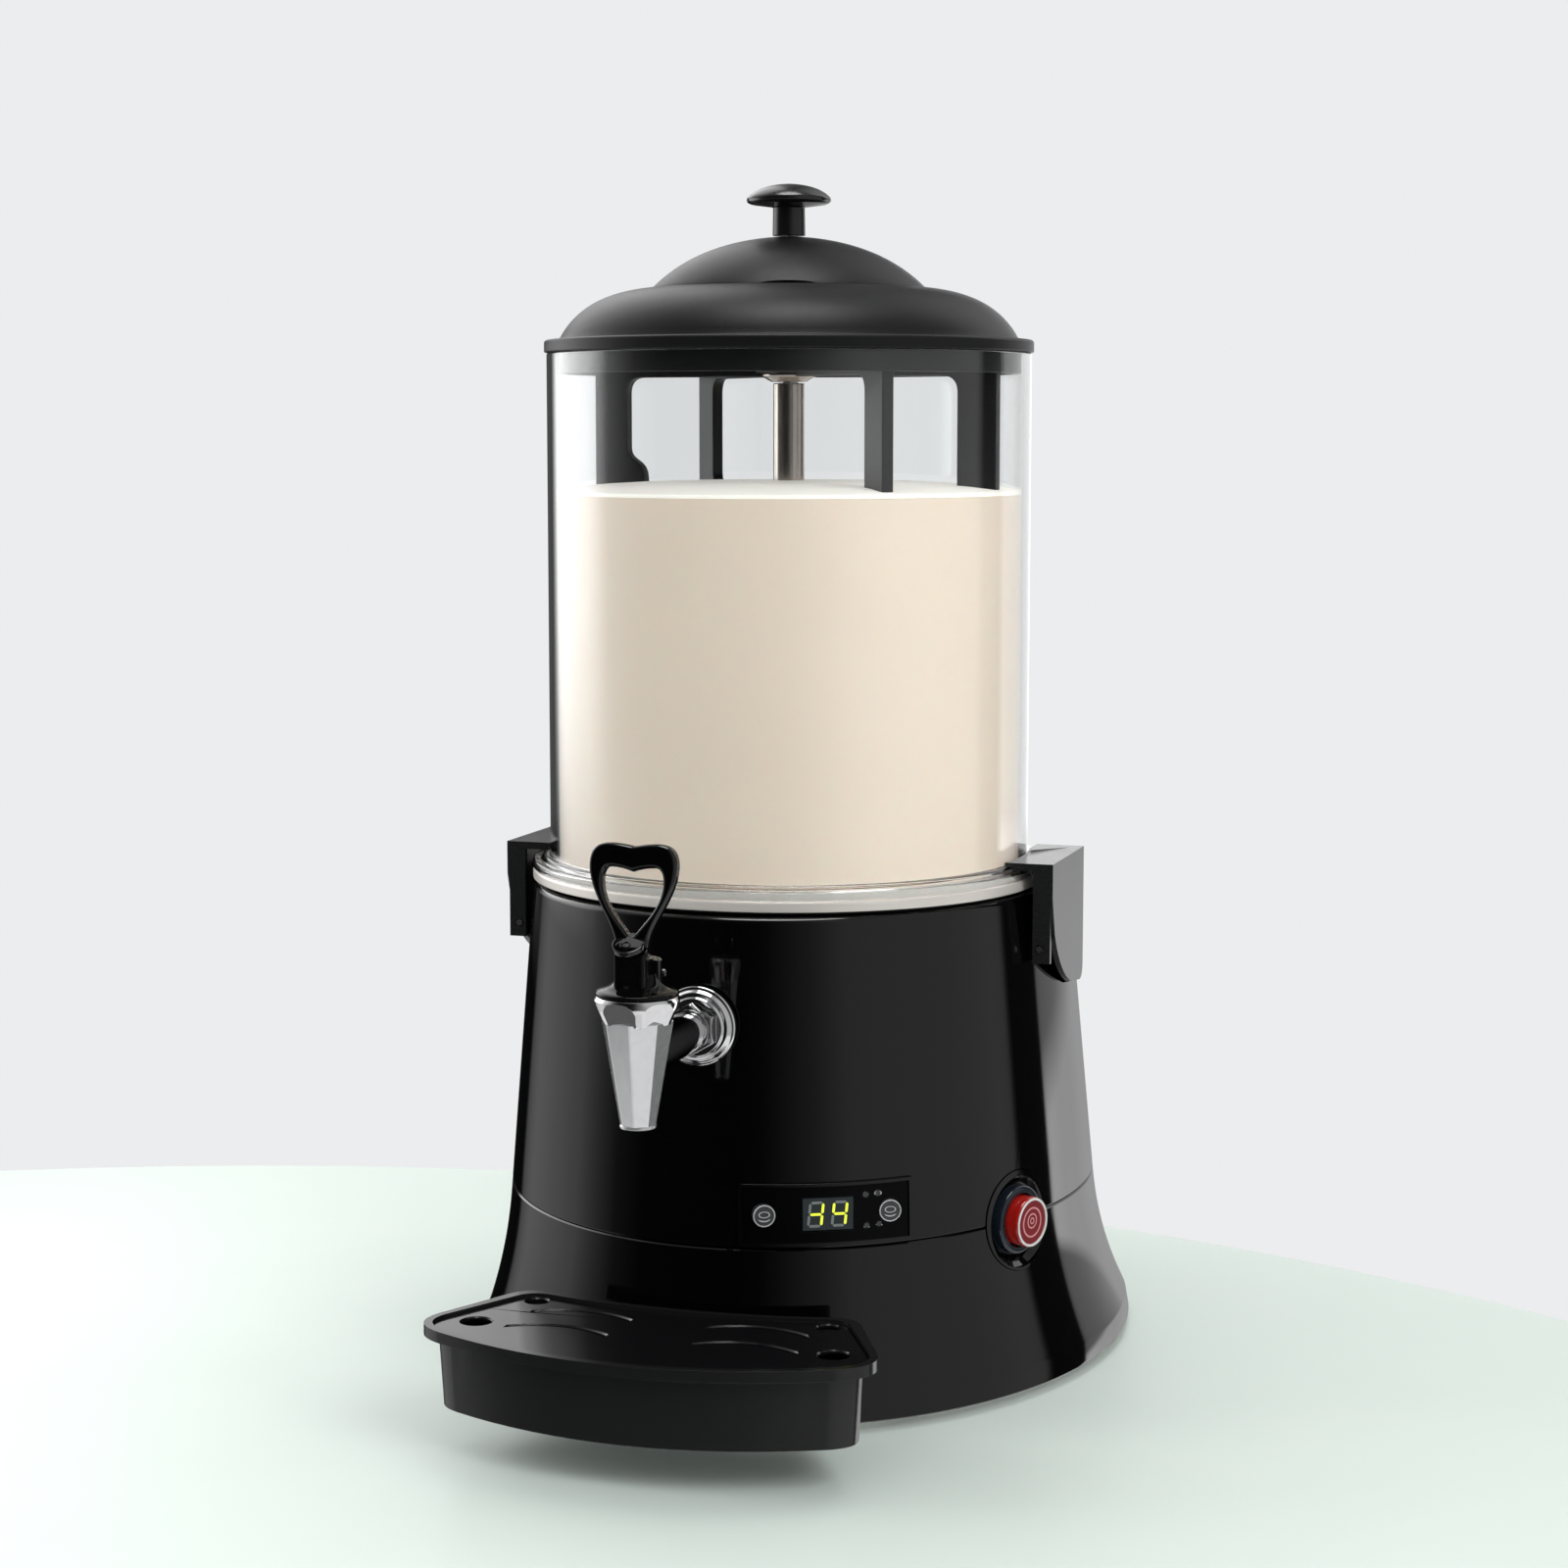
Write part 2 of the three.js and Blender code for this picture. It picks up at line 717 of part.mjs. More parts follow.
// Water bath pan of pressed steel, with the bright rim that shows under the tank
const panHoles = [
  ...[-1, 1].map((hand) => heaterLeg(hand, seatGap, panBottom - overrun)),
  placed(rod(probeRadius + seatGap, panBottom - overrun, panBottom + panWall + overrun, tinySides), probePlace),
  rodAlongY(pipeHole, -panRadius - overrun, -panRadius + panWall * 2 + overrun, 0, tapHeight),
];
const panSection = [[tubeHole, panBottom], [panRadius, panBottom], [panRadius, panRimBottom],
  [panRimRadius, panRimBottom], [panRimRadius, panRimTop], [panLedgeRadius, panRimTop],
  [panLedgeRadius, panLedge], [panRadius - panWall, panLedge], [panRadius - panWall, panBottom + panWall],
  [tubeHole, panBottom + panWall]];
piece('bath_pan', cut(turned(panSection), ...panHoles), steel);

piece('bath_gasket', washer(panRadius + seatGap, panRadius + seatGap + gasketWidth,
  panRimBottom - seatGap - gasketHeight + seatGap / 2, panRimBottom - seatGap / 2), blackRubber);

// Product bowl hung in the bath, under the clear tank
const bowlLedge = panLedge + seatGap;
const bowlTop = panRimTop - seatGap;
const bowlRim = panLedgeRadius - seatGap;
const bowlSection = [[tubeHole, bowlBottom], [bowlRadius - bowlChamfer, bowlBottom],
  [bowlRadius, bowlBottom + bowlChamfer], [bowlRadius, bowlLedge], [bowlRim, bowlLedge], [bowlRim, bowlTop],
  [bowlRadius - bowlWall, bowlTop], [bowlRadius - bowlWall, bowlBottom + bowlChamfer + bowlWall / 2],
  [bowlRadius - bowlChamfer - bowlWall / 2, bowlBottom + bowlWall], [tubeHole, bowlBottom + bowlWall]];
piece('product_bowl', cut(turned(bowlSection),
  rodAlongY(pipeHole, -bowlRadius - overrun, -bowlRadius + bowlChamfer, 0, tapHeight)), steel);

// Clear tank with a stepped flange, and the silicone seal in its foot
const flangeTop = tankFoot + flangeThickness;
const stepTop = flangeTop + flangeStepHeight;
const sealTop = tankFoot + sealSeatHeight;
const stepRadius = tankRadius + flangeStepWidth + flangeStepHeight / 2;
const tankBore = tankRadius - tankWall;
piece('tank', turned([[sealSeatRadius, tankFoot], [flangeRadius, tankFoot], [flangeRadius, flangeTop],
  [stepRadius, flangeTop], [tankRadius + flangeStepWidth, stepTop],
  [tankRadius, stepTop], [tankRadius, tankTop], [tankBore, tankTop], [tankBore, sealTop],
  [sealSeatRadius, sealTop]]), clearPlastic);
piece('tank_seal', washer(tankBore + seatGap, sealSeatRadius - seatGap, bowlTop + seatGap, sealTop - seatGap), silicone);

// Centre tube with a flange on the bowl's floor and a nut under the pan
const tubeBore = tubeRadius - tubeWall;
const tubeFlangeLow = bowlBottom + bowlWall + seatGap;
const tubeFlangeTop = tubeFlangeLow + tubeFlangeHeight;
piece('centre_tube', turned([[tubeBore, tubeBottom], [tubeRadius, tubeBottom], [tubeRadius, tubeFlangeLow],
  [tubeFlangeRadius, tubeFlangeLow], [tubeFlangeRadius, tubeFlangeTop], [tubeRadius, tubeFlangeTop],
  [tubeRadius, tubeTop], [tubeBore, tubeTop]], smallSides), steel);
const panNutLow = panBottom - seatGap - nutHeight;
piece('pan_nut', cut(hexagon(nutWidth, panNutLow, panNutLow + nutHeight),
  rod(tubeHole, panNutLow - overrun, panNutLow + nutHeight + overrun)), steel);

// Motor, gearbox and the bracket that hangs them from the pan
const bracketTop = panBottom - seatGap;
const bracketLow = bracketTop - bracketDrop;
const gearboxTop = bracketLow - seatGap;
const gearboxLow = gearboxTop - gearboxSize[2];
const screwPlaces = [-1, 1].map((hand) => motorScrewSpan.map((span) => hand * span / 2));
const motorScrewLength = 9;

function hat() {
  const half = bracketSpan / 2;
  const shape = new THREE.Shape();
  shape.moveTo(-half, bracketLow);
  shape.lineTo(half, bracketLow);
  shape.lineTo(half, bracketTop - bracketPlate);
  shape.lineTo(half + bracketFlange, bracketTop - bracketPlate);
  shape.lineTo(half + bracketFlange, bracketTop);
  shape.lineTo(half - bracketPlate, bracketTop);
  shape.lineTo(half - bracketPlate, bracketLow + bracketPlate);
  shape.lineTo(-half + bracketPlate, bracketLow + bracketPlate);
  shape.lineTo(-half + bracketPlate, bracketTop);
  shape.lineTo(-half - bracketFlange, bracketTop);
  shape.lineTo(-half - bracketFlange, bracketTop - bracketPlate);
  shape.lineTo(-half, bracketTop - bracketPlate);
  shape.closePath();
  const geometry = extruded(shape, bracketDepth);
  geometry.rotateX(Math.PI / 2);
  geometry.translate(0, bracketDepth / 2, 0);
  return geometry;
}

piece('motor_bracket', cut(hat(),
  rod(collarRadius + runGap, bracketLow - overrun, bracketTop, smallSides),
  ...screwPlaces.map((at) => placed(rod(screwRadius + seatGap, bracketLow - overrun,
    bracketLow + bracketPlate + overrun, tinySides), at))), zincPlate);
piece('gearbox', cut(
  block([-gearboxSize[0] / 2, -gearboxSize[1] / 2, gearboxLow], [gearboxSize[0] / 2, gearboxSize[1] / 2, gearboxTop]),
  rod(shaftRadius + seatGap, shaftBottom - seatGap, gearboxTop + overrun),
  ...screwPlaces.map((at) => placed(rod(screwRadius + seatGap, gearboxTop - motorScrewLength,
    gearboxTop + overrun, tinySides), at))), zincPlate);
piece('gear_motor', rod(motorRadius, plateTop + motorFloorGap, gearboxLow - seatGap, smallSides), zincPlate);
screwPlaces.forEach((at, i) => {
  const seat = bracketLow + bracketPlate + seatGap;
  piece(`motor_screw_${i + 1}`, placed(turned([[0, seat - motorScrewLength], [screwRadius, seat - motorScrewLength],
    [screwRadius, seat], [screwHeadRadius, seat], [screwHeadRadius, seat + screwHeadHeight],
    [0, seat + screwHeadHeight]], tinySides), at), zincPlate);
});

// Ring heater in the water, its probe and its overheat cut-out
function heaterLeg(hand, grow, low) {
  const leg = rod(heaterRod + grow, low, heaterHeight, tinySides);
  leg.translate(hand * heaterRod * 2, -Math.sqrt(heaterRing ** 2 - (heaterRod * 2) ** 2), 0);
  return leg;
}

const heaterLoop = new THREE.TorusGeometry(heaterRing, heaterRod, 8, roundSides / 2);
heaterLoop.translate(0, 0, heaterHeight);
piece('heating_element', join(heaterLoop, heaterLeg(1, 0, heaterHeight - heaterLegDrop),
  heaterLeg(-1, 0, heaterHeight - heaterLegDrop)), steel);
piece('water_probe', placed(join(rod(probeRadius, panBottom - nutHeight, probeTop, tinySides),
  hexagon(probeNutRadius, panBottom - seatGap - nutHeight, panBottom - seatGap)), probePlace), steel);
piece('overheat_cutout', placed(rod(cutoutRadius, panBottom - seatGap - cutoutHeight, panBottom - seatGap),
  cutoutPlace), blackSatin);

// Drive shaft with a shoulder over the gearbox, and the bush that carries the stirrer
const bushLow = tubeTop + seatGap * 2;
const bushBore = shaftRadius + seatGap;
const boreTop = bushTop - hubThickness * 2;
const collarLow = gearboxTop + runGap;
piece('drive_shaft', turned([[0, shaftBottom], [shaftRadius, shaftBottom], [shaftRadius, collarLow],
  [collarRadius, collarLow], [collarRadius, collarLow + collarHeight], [shaftRadius, collarLow + collarHeight],
  [shaftRadius, boreTop - seatGap], [0, boreTop - seatGap]], smallSides), steel);
piece('stirrer_bush', turned([[0, boreTop], [bushBore, boreTop], [bushBore, bushLow], [tubeRadius + runGap, bushLow],
  [bushFlareRadius, bushFlareBottom], [bushFlareRadius, bushFlareTop], [bushNeckRadius, bushFlareTop],
  [bushNeckRadius, bushTop], [0, bushTop]], smallSides), steel);

// Stirrer: two crossed frames, each with one wavy rib, moulded in one piece with the hub
function stirrerFrame(angle, bulgeDrop) {
  const inside = frameReach - frameRib;
  const windowTop = frameTop - frameTopBar;
  const windowLow = frameBottom + frameBottomBar;
  const outline = new THREE.Shape();
  outline.moveTo(-frameReach, frameBottom);
  outline.lineTo(frameReach, frameBottom);
  outline.lineTo(frameReach, frameTop);
  outline.lineTo(-frameReach, frameTop);
  outline.closePath();
  const window = new THREE.Path();
  const bulge = inside - frameBulge;
  const bulgeTop = frameTop - bulgeDrop;
  const bulgeEnd = bulgeTop - bulgeLength;
  window.moveTo(-inside + frameRound, windowTop);
  window.lineTo(inside - frameRound, windowTop);
  window.quadraticCurveTo(inside, windowTop, inside, windowTop - frameRound);
  window.lineTo(inside, windowLow + frameRound);
  window.quadraticCurveTo(inside, windowLow, inside - frameRound, windowLow);
  window.lineTo(-inside + frameRound, windowLow);
  window.quadraticCurveTo(-inside, windowLow, -inside, windowLow + frameRound);
  window.lineTo(-inside, bulgeEnd);
  window.quadraticCurveTo(-bulge, bulgeEnd, -bulge, bulgeEnd + frameBulge);
  window.lineTo(-bulge, bulgeTop - frameBulge);
  window.quadraticCurveTo(-bulge, bulgeTop, -inside, bulgeTop);
  window.lineTo(-inside, windowTop - frameRound);
  window.quadraticCurveTo(-inside, windowTop, -inside + frameRound, windowTop);
  outline.holes.push(window);
  const geometry = extruded(outline, frameThickness, curveSteps / 2);
  geometry.rotateX(Math.PI / 2);
  geometry.translate(0, frameThickness / 2, 0);
  geometry.rotateZ(angle - Math.PI / 2);
  return geometry;
}

const hubLow = bushFlareTop + seatGap;
const hubBore = bushNeckRadius + seatGap;
const hubRing = turned([[0, bushTop + seatGap], [hubBore, bushTop + seatGap], [hubBore, hubLow],
  [hubRadius, hubLow], [hubRadius, bushTop], [0, bushTop + seatGap + hubThickness]], smallSides);
const footRing = washer(tubeRadius + runGap, hubRadius, frameBottom, frameBottom + frameBottomBar, smallSides);
const crossed = join(...frameAngleShares.map((share, turn) => stirrerFrame(share * Math.PI, bulgeDrops[turn])));
const bushRoom = rod(bushFlareRadius + runGap, frameTop - frameTopBar - overrun, hubLow, smallSides);
const neckRoom = rod(hubBore, hubLow - overrun, frameTop + overrun, smallSides);
const tubeRoom = rod(tubeRadius + runGap, frameBottom - overrun, frameBottom + frameBottomBar + overrun, smallSides);
piece('stirrer', join(cut(crossed, bushRoom, neckRoom, tubeRoom), hubRing, footRing), blackSatin);

// Lid: two domes with a step, a rim that rests on the tank and a skirt inside it
const lidLow = tankTop + lidSeat;
const lidRimTop = lidLow + lidRimThickness;
const shoulder = lidRimTop + lidShoulderRise;

function dome(inset, steps) {
  const low = [lidShoulderRadius - inset, shoulder - inset / 2];
  const step = [lidStepRadius - inset / 2, lidStepHeight - inset];
  const peak = [0, lidDomeHeight - inset];
  const mix = (a, b, share) => a + (b - a) * share;
  const lowBend = [mix(step[0], low[0], lowBulgeShares[0]), mix(low[1], step[1], lowBulgeShares[1])];
  const highBend = [mix(peak[0], step[0], highBulgeShares[0]), mix(step[1], peak[1], highBulgeShares[1])];
  return [...bend(low, lowBend, step, steps), ...bend(step, highBend, peak, steps).slice(1)];
}

const skirtOut = tankBore - runGap;
const lidSection = [...dome(lidThickness, innerDomeSteps).reverse(), [skirtOut - skirtWall, lidLow - skirtDepth],
  [skirtOut, lidLow - skirtDepth], [skirtOut, lidLow], [lidRimRadius, lidLow], [lidRimRadius, lidRimTop],
  ...dome(0, domeSteps)];
const lidHole = rod(screwRadius + seatGap, lidDomeHeight - lidThickness * 2, lidDomeHeight + overrun, tinySides);
piece('lid', cut(turned(lidSection), lidHole), blackSatin);

// Knob with a mushroom cap, and the screw that holds it from below
const knobLow = lidDomeHeight + seatGap;
const knobTop = knobLow + knobHeight;
const capLow = knobTop - knobCapHeight;
const capEdge = capLow + knobCapHeight * knobEdgeShare;
const knobSection = [[0, knobLow], [knobFootRadius, knobLow], [knobStemRadius, knobLow + knobFootHeight],
  [knobStemRadius, capLow - knobFootHeight], [knobFootRadius, capLow],
  ...bend([knobCapRadius - knobFootHeight, capLow + knobFootHeight / 2], [knobCapRadius + knobFootHeight / 2, capEdge],
    [knobCapRadius - knobFootHeight, capEdge + knobFootHeight], 4),
  ...bend([knobCapRadius / 2, knobTop - knobFootHeight / 2], [knobCapRadius / 4, knobTop], [0, knobTop], 3)];
const knobBore = rod(screwRadius + seatGap, knobLow - overrun, knobLow + knobScrewLength, tinySides);
piece('lid_knob', cut(turned(knobSection, roundSides / 2), knobBore), blackGloss);
const knobScrewHead = lidDomeHeight - lidThickness - runGap;
piece('knob_screw', turned([[0, knobScrewHead - screwHeadHeight], [screwHeadRadius, knobScrewHead - screwHeadHeight],
  [screwHeadRadius, knobScrewHead], [screwRadius, knobScrewHead], [screwRadius, knobLow + knobScrewLength - overrun],
  [0, knobLow + knobScrewLength - overrun]], tinySides), zincPlate);

// Outlet pipe from the bowl to the tap, with washer, rosette and nut on the casing's face
const pipeStart = -bowlRadius + bowlWall * 2;
piece('outlet_pipe', cut(rodAlongY(pipeRadius, tapAxis + pipeEnd, pipeStart, 0, tapHeight),
  rodAlongY(pipeRadius - pipeWall, tapAxis, 0, 0, tapHeight)), steel);
const washerFront = -reachAt(tapHeight - rosetteRadius)[1] - washerThickness;
piece('outlet_washer', cut(rodAlongY(washerRadius, washerFront, -topReach[1], 0, tapHeight, roundSides / 2),
  ovalSolid([[tapHeight - rosetteRadius, seatGap], [tapHeight + rosetteRadius, seatGap]]),
  rodAlongY(pipeHole, washerFront - overrun, 0, 0, tapHeight)), blackRubber);

// A turned piece laid along -Y, its section given as radius and distance forward of a face
function turnedForward(section, face, height, sides) {
  const geometry = turned(section, sides);
  geometry.rotateX(Math.PI / 2);
  geometry.translate(0, face, height);
  return geometry;
}

const rosetteBack = washerFront - seatGap;
const rosetteFront = rosetteBack - rosetteThickness;
piece('tap_rosette', turnedForward([[pipeHole, 0], [rosetteRadius, 0], [rosetteRadius, rosetteThickness / 3],
  [rosetteFaceRadius, rosetteThickness], [pipeHole, rosetteThickness]], rosetteBack, tapHeight, roundSides / 2), chrome);
const nutBack = rosetteFront - seatGap;
const nutFront = nutBack - tapNutThickness;
piece('tap_nut', cut(turnedForward([[0, 0], [tapNutRadius, 0], [tapNutRadius, tapNutThickness],
  [0, tapNutThickness]], nutBack, tapHeight, 6),
rodAlongY(pipeHole, nutFront - overrun, nutBack + overrun, 0, tapHeight)), chrome);

// Tap body: crown, faceted cone and spout, bored for the valve
function aboutTap(geometry) {
  geometry.translate(0, tapAxis, 0);
  return geometry;
}

const cone = turned([[0, coneBottom], [coneFootRadius, coneBottom], [coneTopRadius, collarBottom], [0, collarBottom]],
  coneSides);
cone.rotateZ(Math.PI / coneSides);
const crown = turned([[0, collarBottom - overrun], [coneTopRadius - overrun, collarBottom - overrun],
  [coneTopRadius, collarBottom], [crownRadius, crownTop - crownEdge], [crownRadius, crownTop], [0, crownTop]],
roundSides / 2);
const spoutEnd = rod(spoutRadius, spoutBottom, coneBottom + overrun);
const tapNeck = rodAlongY(neckRadius, tapAxis, nutFront - seatGap, 0, tapHeight);
piece('tap_body', cut(join(aboutTap(join(cone, crown, spoutEnd)), tapNeck),
  aboutTap(rod(chamberRadius, valveSeat, crownTop + overrun)),
  aboutTap(rod(spoutBore, spoutBottom - overrun, valveSeat + overrun)),
  rodAlongY(pipeHole, tapAxis + pipeEnd - seatGap, nutFront, 0, tapHeight),
  rodAlongY(pipeRadius - pipeWall, tapAxis, nutFront, 0, tapHeight)), chrome);

// Bonnet: spigot, flared skirt, front block with a tongue for the lever, and rear block
const bonnetSeat = crownTop + seatGap;
const bonnetTurned = turned([[0, bonnetSeat - spigotLength], [chamberRadius - seatGap, bonnetSeat - spigotLength],
  [chamberRadius - seatGap, bonnetSeat], [skirtRadius, bonnetSeat], [skirtRadius, bonnetSeat + skirtEdge],
  ...bend([skirtRadius - skirtEdge, bonnetSeat + skirtEdge * 2], [skirtTopRadius, bonnetSeat + skirtEdge * 2],
    [skirtTopRadius, bonnetSeat + skirtRise], 3), [0, bonnetSeat + skirtRise]], roundSides / 2);
const frontBlock = block([-blockWidth / 2, -blockFront, bonnetSeat + skirtEdge * 2],
  [blockWidth / 2, stemRadius, blockTop]);
const leverTongue = block([-tongueWidth / 2, -pivotForward - knuckleRadius, blockTop - overrun],
  [tongueWidth / 2, -pivotForward + knuckleRadius, pivotHeight]);
const tongueTop = rodAlongX(knuckleRadius, tongueWidth / 2, -pivotForward, pivotHeight);
const rearBlock = block([-rearWidth / 2, 0, bonnetSeat + skirtEdge * 2], [rearWidth / 2, rearDepth, rearTop]);
piece('tap_bonnet', cut(aboutTap(join(bonnetTurned, frontBlock, leverTongue, tongueTop, rearBlock)),
  aboutTap(rod(stemRadius + seatGap, bonnetSeat - spigotLength - overrun, stemTop + valveLift + overrun)),
  rodAlongX(pinRadius + seatGap, blockWidth, pivotY, pivotHeight, tinySides),
  rodAlongX(pinRadius + seatGap / 2, rearWidth, tapAxis + lockPinBack, lockPinHeight, tinySides)), blackGloss);
piece('lever_pin', rodAlongX(pinRadius, leverFootHalf, pivotY, pivotHeight, tinySides), steel);
piece('bonnet_pin', rodAlongX(pinRadius, rearWidth / 2 + seatGap, tapAxis + lockPinBack, lockPinHeight, tinySides), steel);

// Valve stem with its sealing disc, lifted by the lever
const discLow = valveSeat + seatGap;
piece('valve_stem', aboutTap(turned([[0, discLow], [discRadius, discLow], [discRadius, discLow + discHeight],
  [stemRadius, discLow + discHeight], [stemRadius, stemTop], [0, stemTop]], smallSides)), silicone);

// Lever: a flat heart-shaped loop on a fork, drawn round its pin
function heart() {
  const shape = new THREE.Shape();
  shape.moveTo(-leverFootHalf, leverFoot);
  shape.lineTo(leverFootHalf, leverFoot);
  shape.bezierCurveTo(leverFootHalf, leverShoulder / 3, leverHalf, leverShoulder * 2 / 3, leverHalf, leverShoulder);
  shape.quadraticCurveTo(leverHalf, leverTop, leverLobe, leverTop);
  shape.quadraticCurveTo(leverLobe / 2, leverTop, 0, leverDip);
  shape.quadraticCurveTo(-leverLobe / 2, leverTop, -leverLobe, leverTop);
  shape.quadraticCurveTo(-leverHalf, leverTop, -leverHalf, leverShoulder);
  shape.bezierCurveTo(-leverHalf, leverShoulder * 2 / 3, -leverFootHalf, leverShoulder / 3, -leverFootHalf, leverFoot);
  const loop = new THREE.Path();
  const apexHalf = loopHalf / 8;
  loop.moveTo(-apexHalf, loopApex);
  loop.bezierCurveTo(-loopHalf / 2, loopShoulder / 2, -loopHalf, loopShoulder * 2 / 3, -loopHalf, loopShoulder);
  loop.quadraticCurveTo(-loopHalf, loopTop, -loopHalf * 2 / 3, loopTop);
  loop.quadraticCurveTo(-loopHalf / 3, loopTop, 0, loopDip);
  loop.quadraticCurveTo(loopHalf / 3, loopTop, loopHalf * 2 / 3, loopTop);
  loop.quadraticCurveTo(loopHalf, loopTop, loopHalf, loopShoulder);
  loop.bezierCurveTo(loopHalf, loopShoulder * 2 / 3, loopHalf / 2, loopShoulder / 2, apexHalf, loopApex);
  loop.closePath();
  shape.holes.push(loop);
  const geometry = extruded(shape, leverThickness, curveSteps / 2);
  geometry.rotateX(Math.PI / 2);
  geometry.translate(0, leverThickness / 2, 0);
  return geometry;
}

const forkInner = tongueWidth / 2 + seatGap;
const forkLegs = [-1, 1].flatMap((hand) => {
  const low = Math.min(hand * forkInner, hand * leverFootHalf);
  const high = Math.max(hand * forkInner, hand * leverFootHalf);
  const eye = rod(knuckleRadius - seatGap, low, high);
  eye.rotateY(Math.PI / 2);
  return [eye, block([low, -leverThickness / 2, 0], [high, leverThickness / 2, leverFoot + overrun])];
});
const lever = cut(join(heart(), ...forkLegs), rodAlongX(pinRadius + seatGap, leverFootHalf * 2, 0, 0, tinySides));
lever.rotateX(-leverLean);
lever.translate(0, pivotY, pivotHeight);
piece('tap_lever', lever, blackGloss);

// Side latches: hollow hooks over the tank flange, each on a pin through its mounting block
function latchShape(hand, grow) {
  const drop = latchPivot[1] - latchTail;
  const deep = latchBack - latchFront;
  const tail = latchTailShares.map((share, i) => [
    latchFront + deep * share, latchTail + drop * tailHeightShares[i] - grow]);
  const shape = new THREE.Shape();
  shape.moveTo(latchFront - grow, latchTop);
  shape.lineTo(latchBack + grow, latchTop);
  shape.lineTo(latchBack + grow, latchTail + drop / 3);
  shape.quadraticCurveTo(latchBack + grow, latchTail - grow, tail[3][0], latchTail - grow);
  shape.lineTo(tail[2][0], tail[2][1]);
  shape.quadraticCurveTo(tail[1][0] - grow, tail[1][1], tail[0][0] - grow, latchPivot[1] + drop / 4);
  shape.lineTo(latchFront - grow, latchPivot[1] + drop);
  shape.closePath();
  return shape;
}

function latchPlateBody(hand, inner, outer, grow) {
  const geometry = extruded(latchShape(hand, grow), outer - inner);
  geometry.rotateX(Math.PI / 2);
  geometry.rotateZ(Math.PI / 2);
  geometry.translate(inner, 0, 0);
  if (hand < 0) geometry.scale(-1, 1, 1);
  return geometry;
}

// The slot in the casing that the latch tail swings into
function latchOutline(hand, grow) {
  const slot = latchPlateBody(hand, hingeLugInner, latchFace, grow);
  const keep = block([-flangeRadius * 2, latchFront - deepEnough(), 0],
    [flangeRadius * 2, latchBack + deepEnough(), latchPivot[1] - webDrop / 2]);
  return common(slot, keep);
}

function deepEnough() {
  return latchBack - latchFront;
}

// The opening in the casing for the latch's own lug, behind the casing's hinge lug
function latchWindow(hand) {
  const low = [hingeLugInner, lugFront - runGap, latchPivot[1] - webDrop - runGap];
  const high = [latchFace, lugFront + webThickness + runGap, latchPivot[1] + webDrop + runGap];
  const opening = block(low, high);
  if (hand < 0) opening.scale(-1, 1, 1);
  return opening;
}

function latch(hand) {
  const inner = latchFace - latchPlate;
  const plate = latchPlateBody(1, inner, latchFace, 0);
  const lip = cut(
    block([latchLipReach, latchFront, latchTop - latchLip], [latchFace, latchBack, latchTop]),
    turned([[0, latchTop - latchLip - overrun], [stepRadius + runGap, latchTop - latchLip - overrun],
      [stepRadius + runGap, stepTop + seatGap], [tankRadius + runGap, stepTop + seatGap],
      [tankRadius + runGap, latchTop + overrun], [0, latchTop + overrun]]));
  const [pivotX, pivotZ] = latchPivot;
  const frontWeb = block([webInner, latchFront, pivotZ - webDrop],
    [latchFace - overrun, latchFront + webThickness, latchTop - overrun]);
  const rearWeb = block([rearWebInner, latchBack - webThickness, pivotZ + overrun],
    [latchFace - overrun, latchBack, latchTop - overrun]);
  const lug = block([webInner, lugFront, pivotZ - lugRise], [latchFace - overrun, lugFront + webThickness, pivotZ + lugRise]);
  const bore = rodAlongY(latchPinRadius + seatGap, latchFront - overrun, lugFront + webThickness + overrun,
    pivotX, pivotZ, tinySides);
  const whole = cut(join(plate, lip, frontWeb, rearWeb, lug), bore);
  if (hand < 0) whole.scale(-1, 1, 1);
  return whole;
}

// Hinge lug moulded on the casing, between the latch's front web and its own lug
function hingeLug(hand) {
  const [pivotX, pivotZ] = latchPivot;
  const front = latchFront + webThickness + runGap;
  const back = lugFront - runGap;
  const body = block([hingeLugInner, front, pivotZ - webDrop],
    [latchFace - latchPlate - runGap - seatGap, back, pivotZ + webDrop]);
  const whole = cut(body, rodAlongY(latchPinRadius + seatGap / 2, front - overrun, back + overrun,
    pivotX, pivotZ, tinySides));
  if (hand < 0) whole.scale(-1, 1, 1);
  return whole;
}

function latchPin(hand) {
  return rodAlongY(latchPinRadius, latchFront - seatGap, lugFront + webThickness, hand * latchPivot[0],
    latchPivot[1], tinySides);
}

piece('latch_pin_right', latchPin(1), steel);
piece('latch_pin_left', latchPin(-1), steel);
piece('latch_right', latch(1), blackSatin);
piece('latch_left', latch(-1), blackSatin);

// Control panel: a curved bezel on the casing with a display, two keys and four lamps
const panelLow = panelMiddle - panelHeight / 2;
const panelHigh = panelMiddle + panelHeight / 2;
const panelStrip = cut(
  ovalSolid([[panelLow - overrun, seatGap + panelThickness], [panelHigh + overrun, seatGap + panelThickness]]),
  ovalSolid([[panelLow - overrun * 2, seatGap], [panelHigh + overrun * 2, seatGap]]));
const panelBlock = faceOut(block([-panelWidth / 2, -panelHeight / 2, -panelHeight], [panelWidth / 2, panelHeight / 2, panelHeight]),
  panelPlace);
piece('panel_bezel', cut(common(panelStrip, panelBlock), ...panelOpenings(panelHeight)), blackGloss);

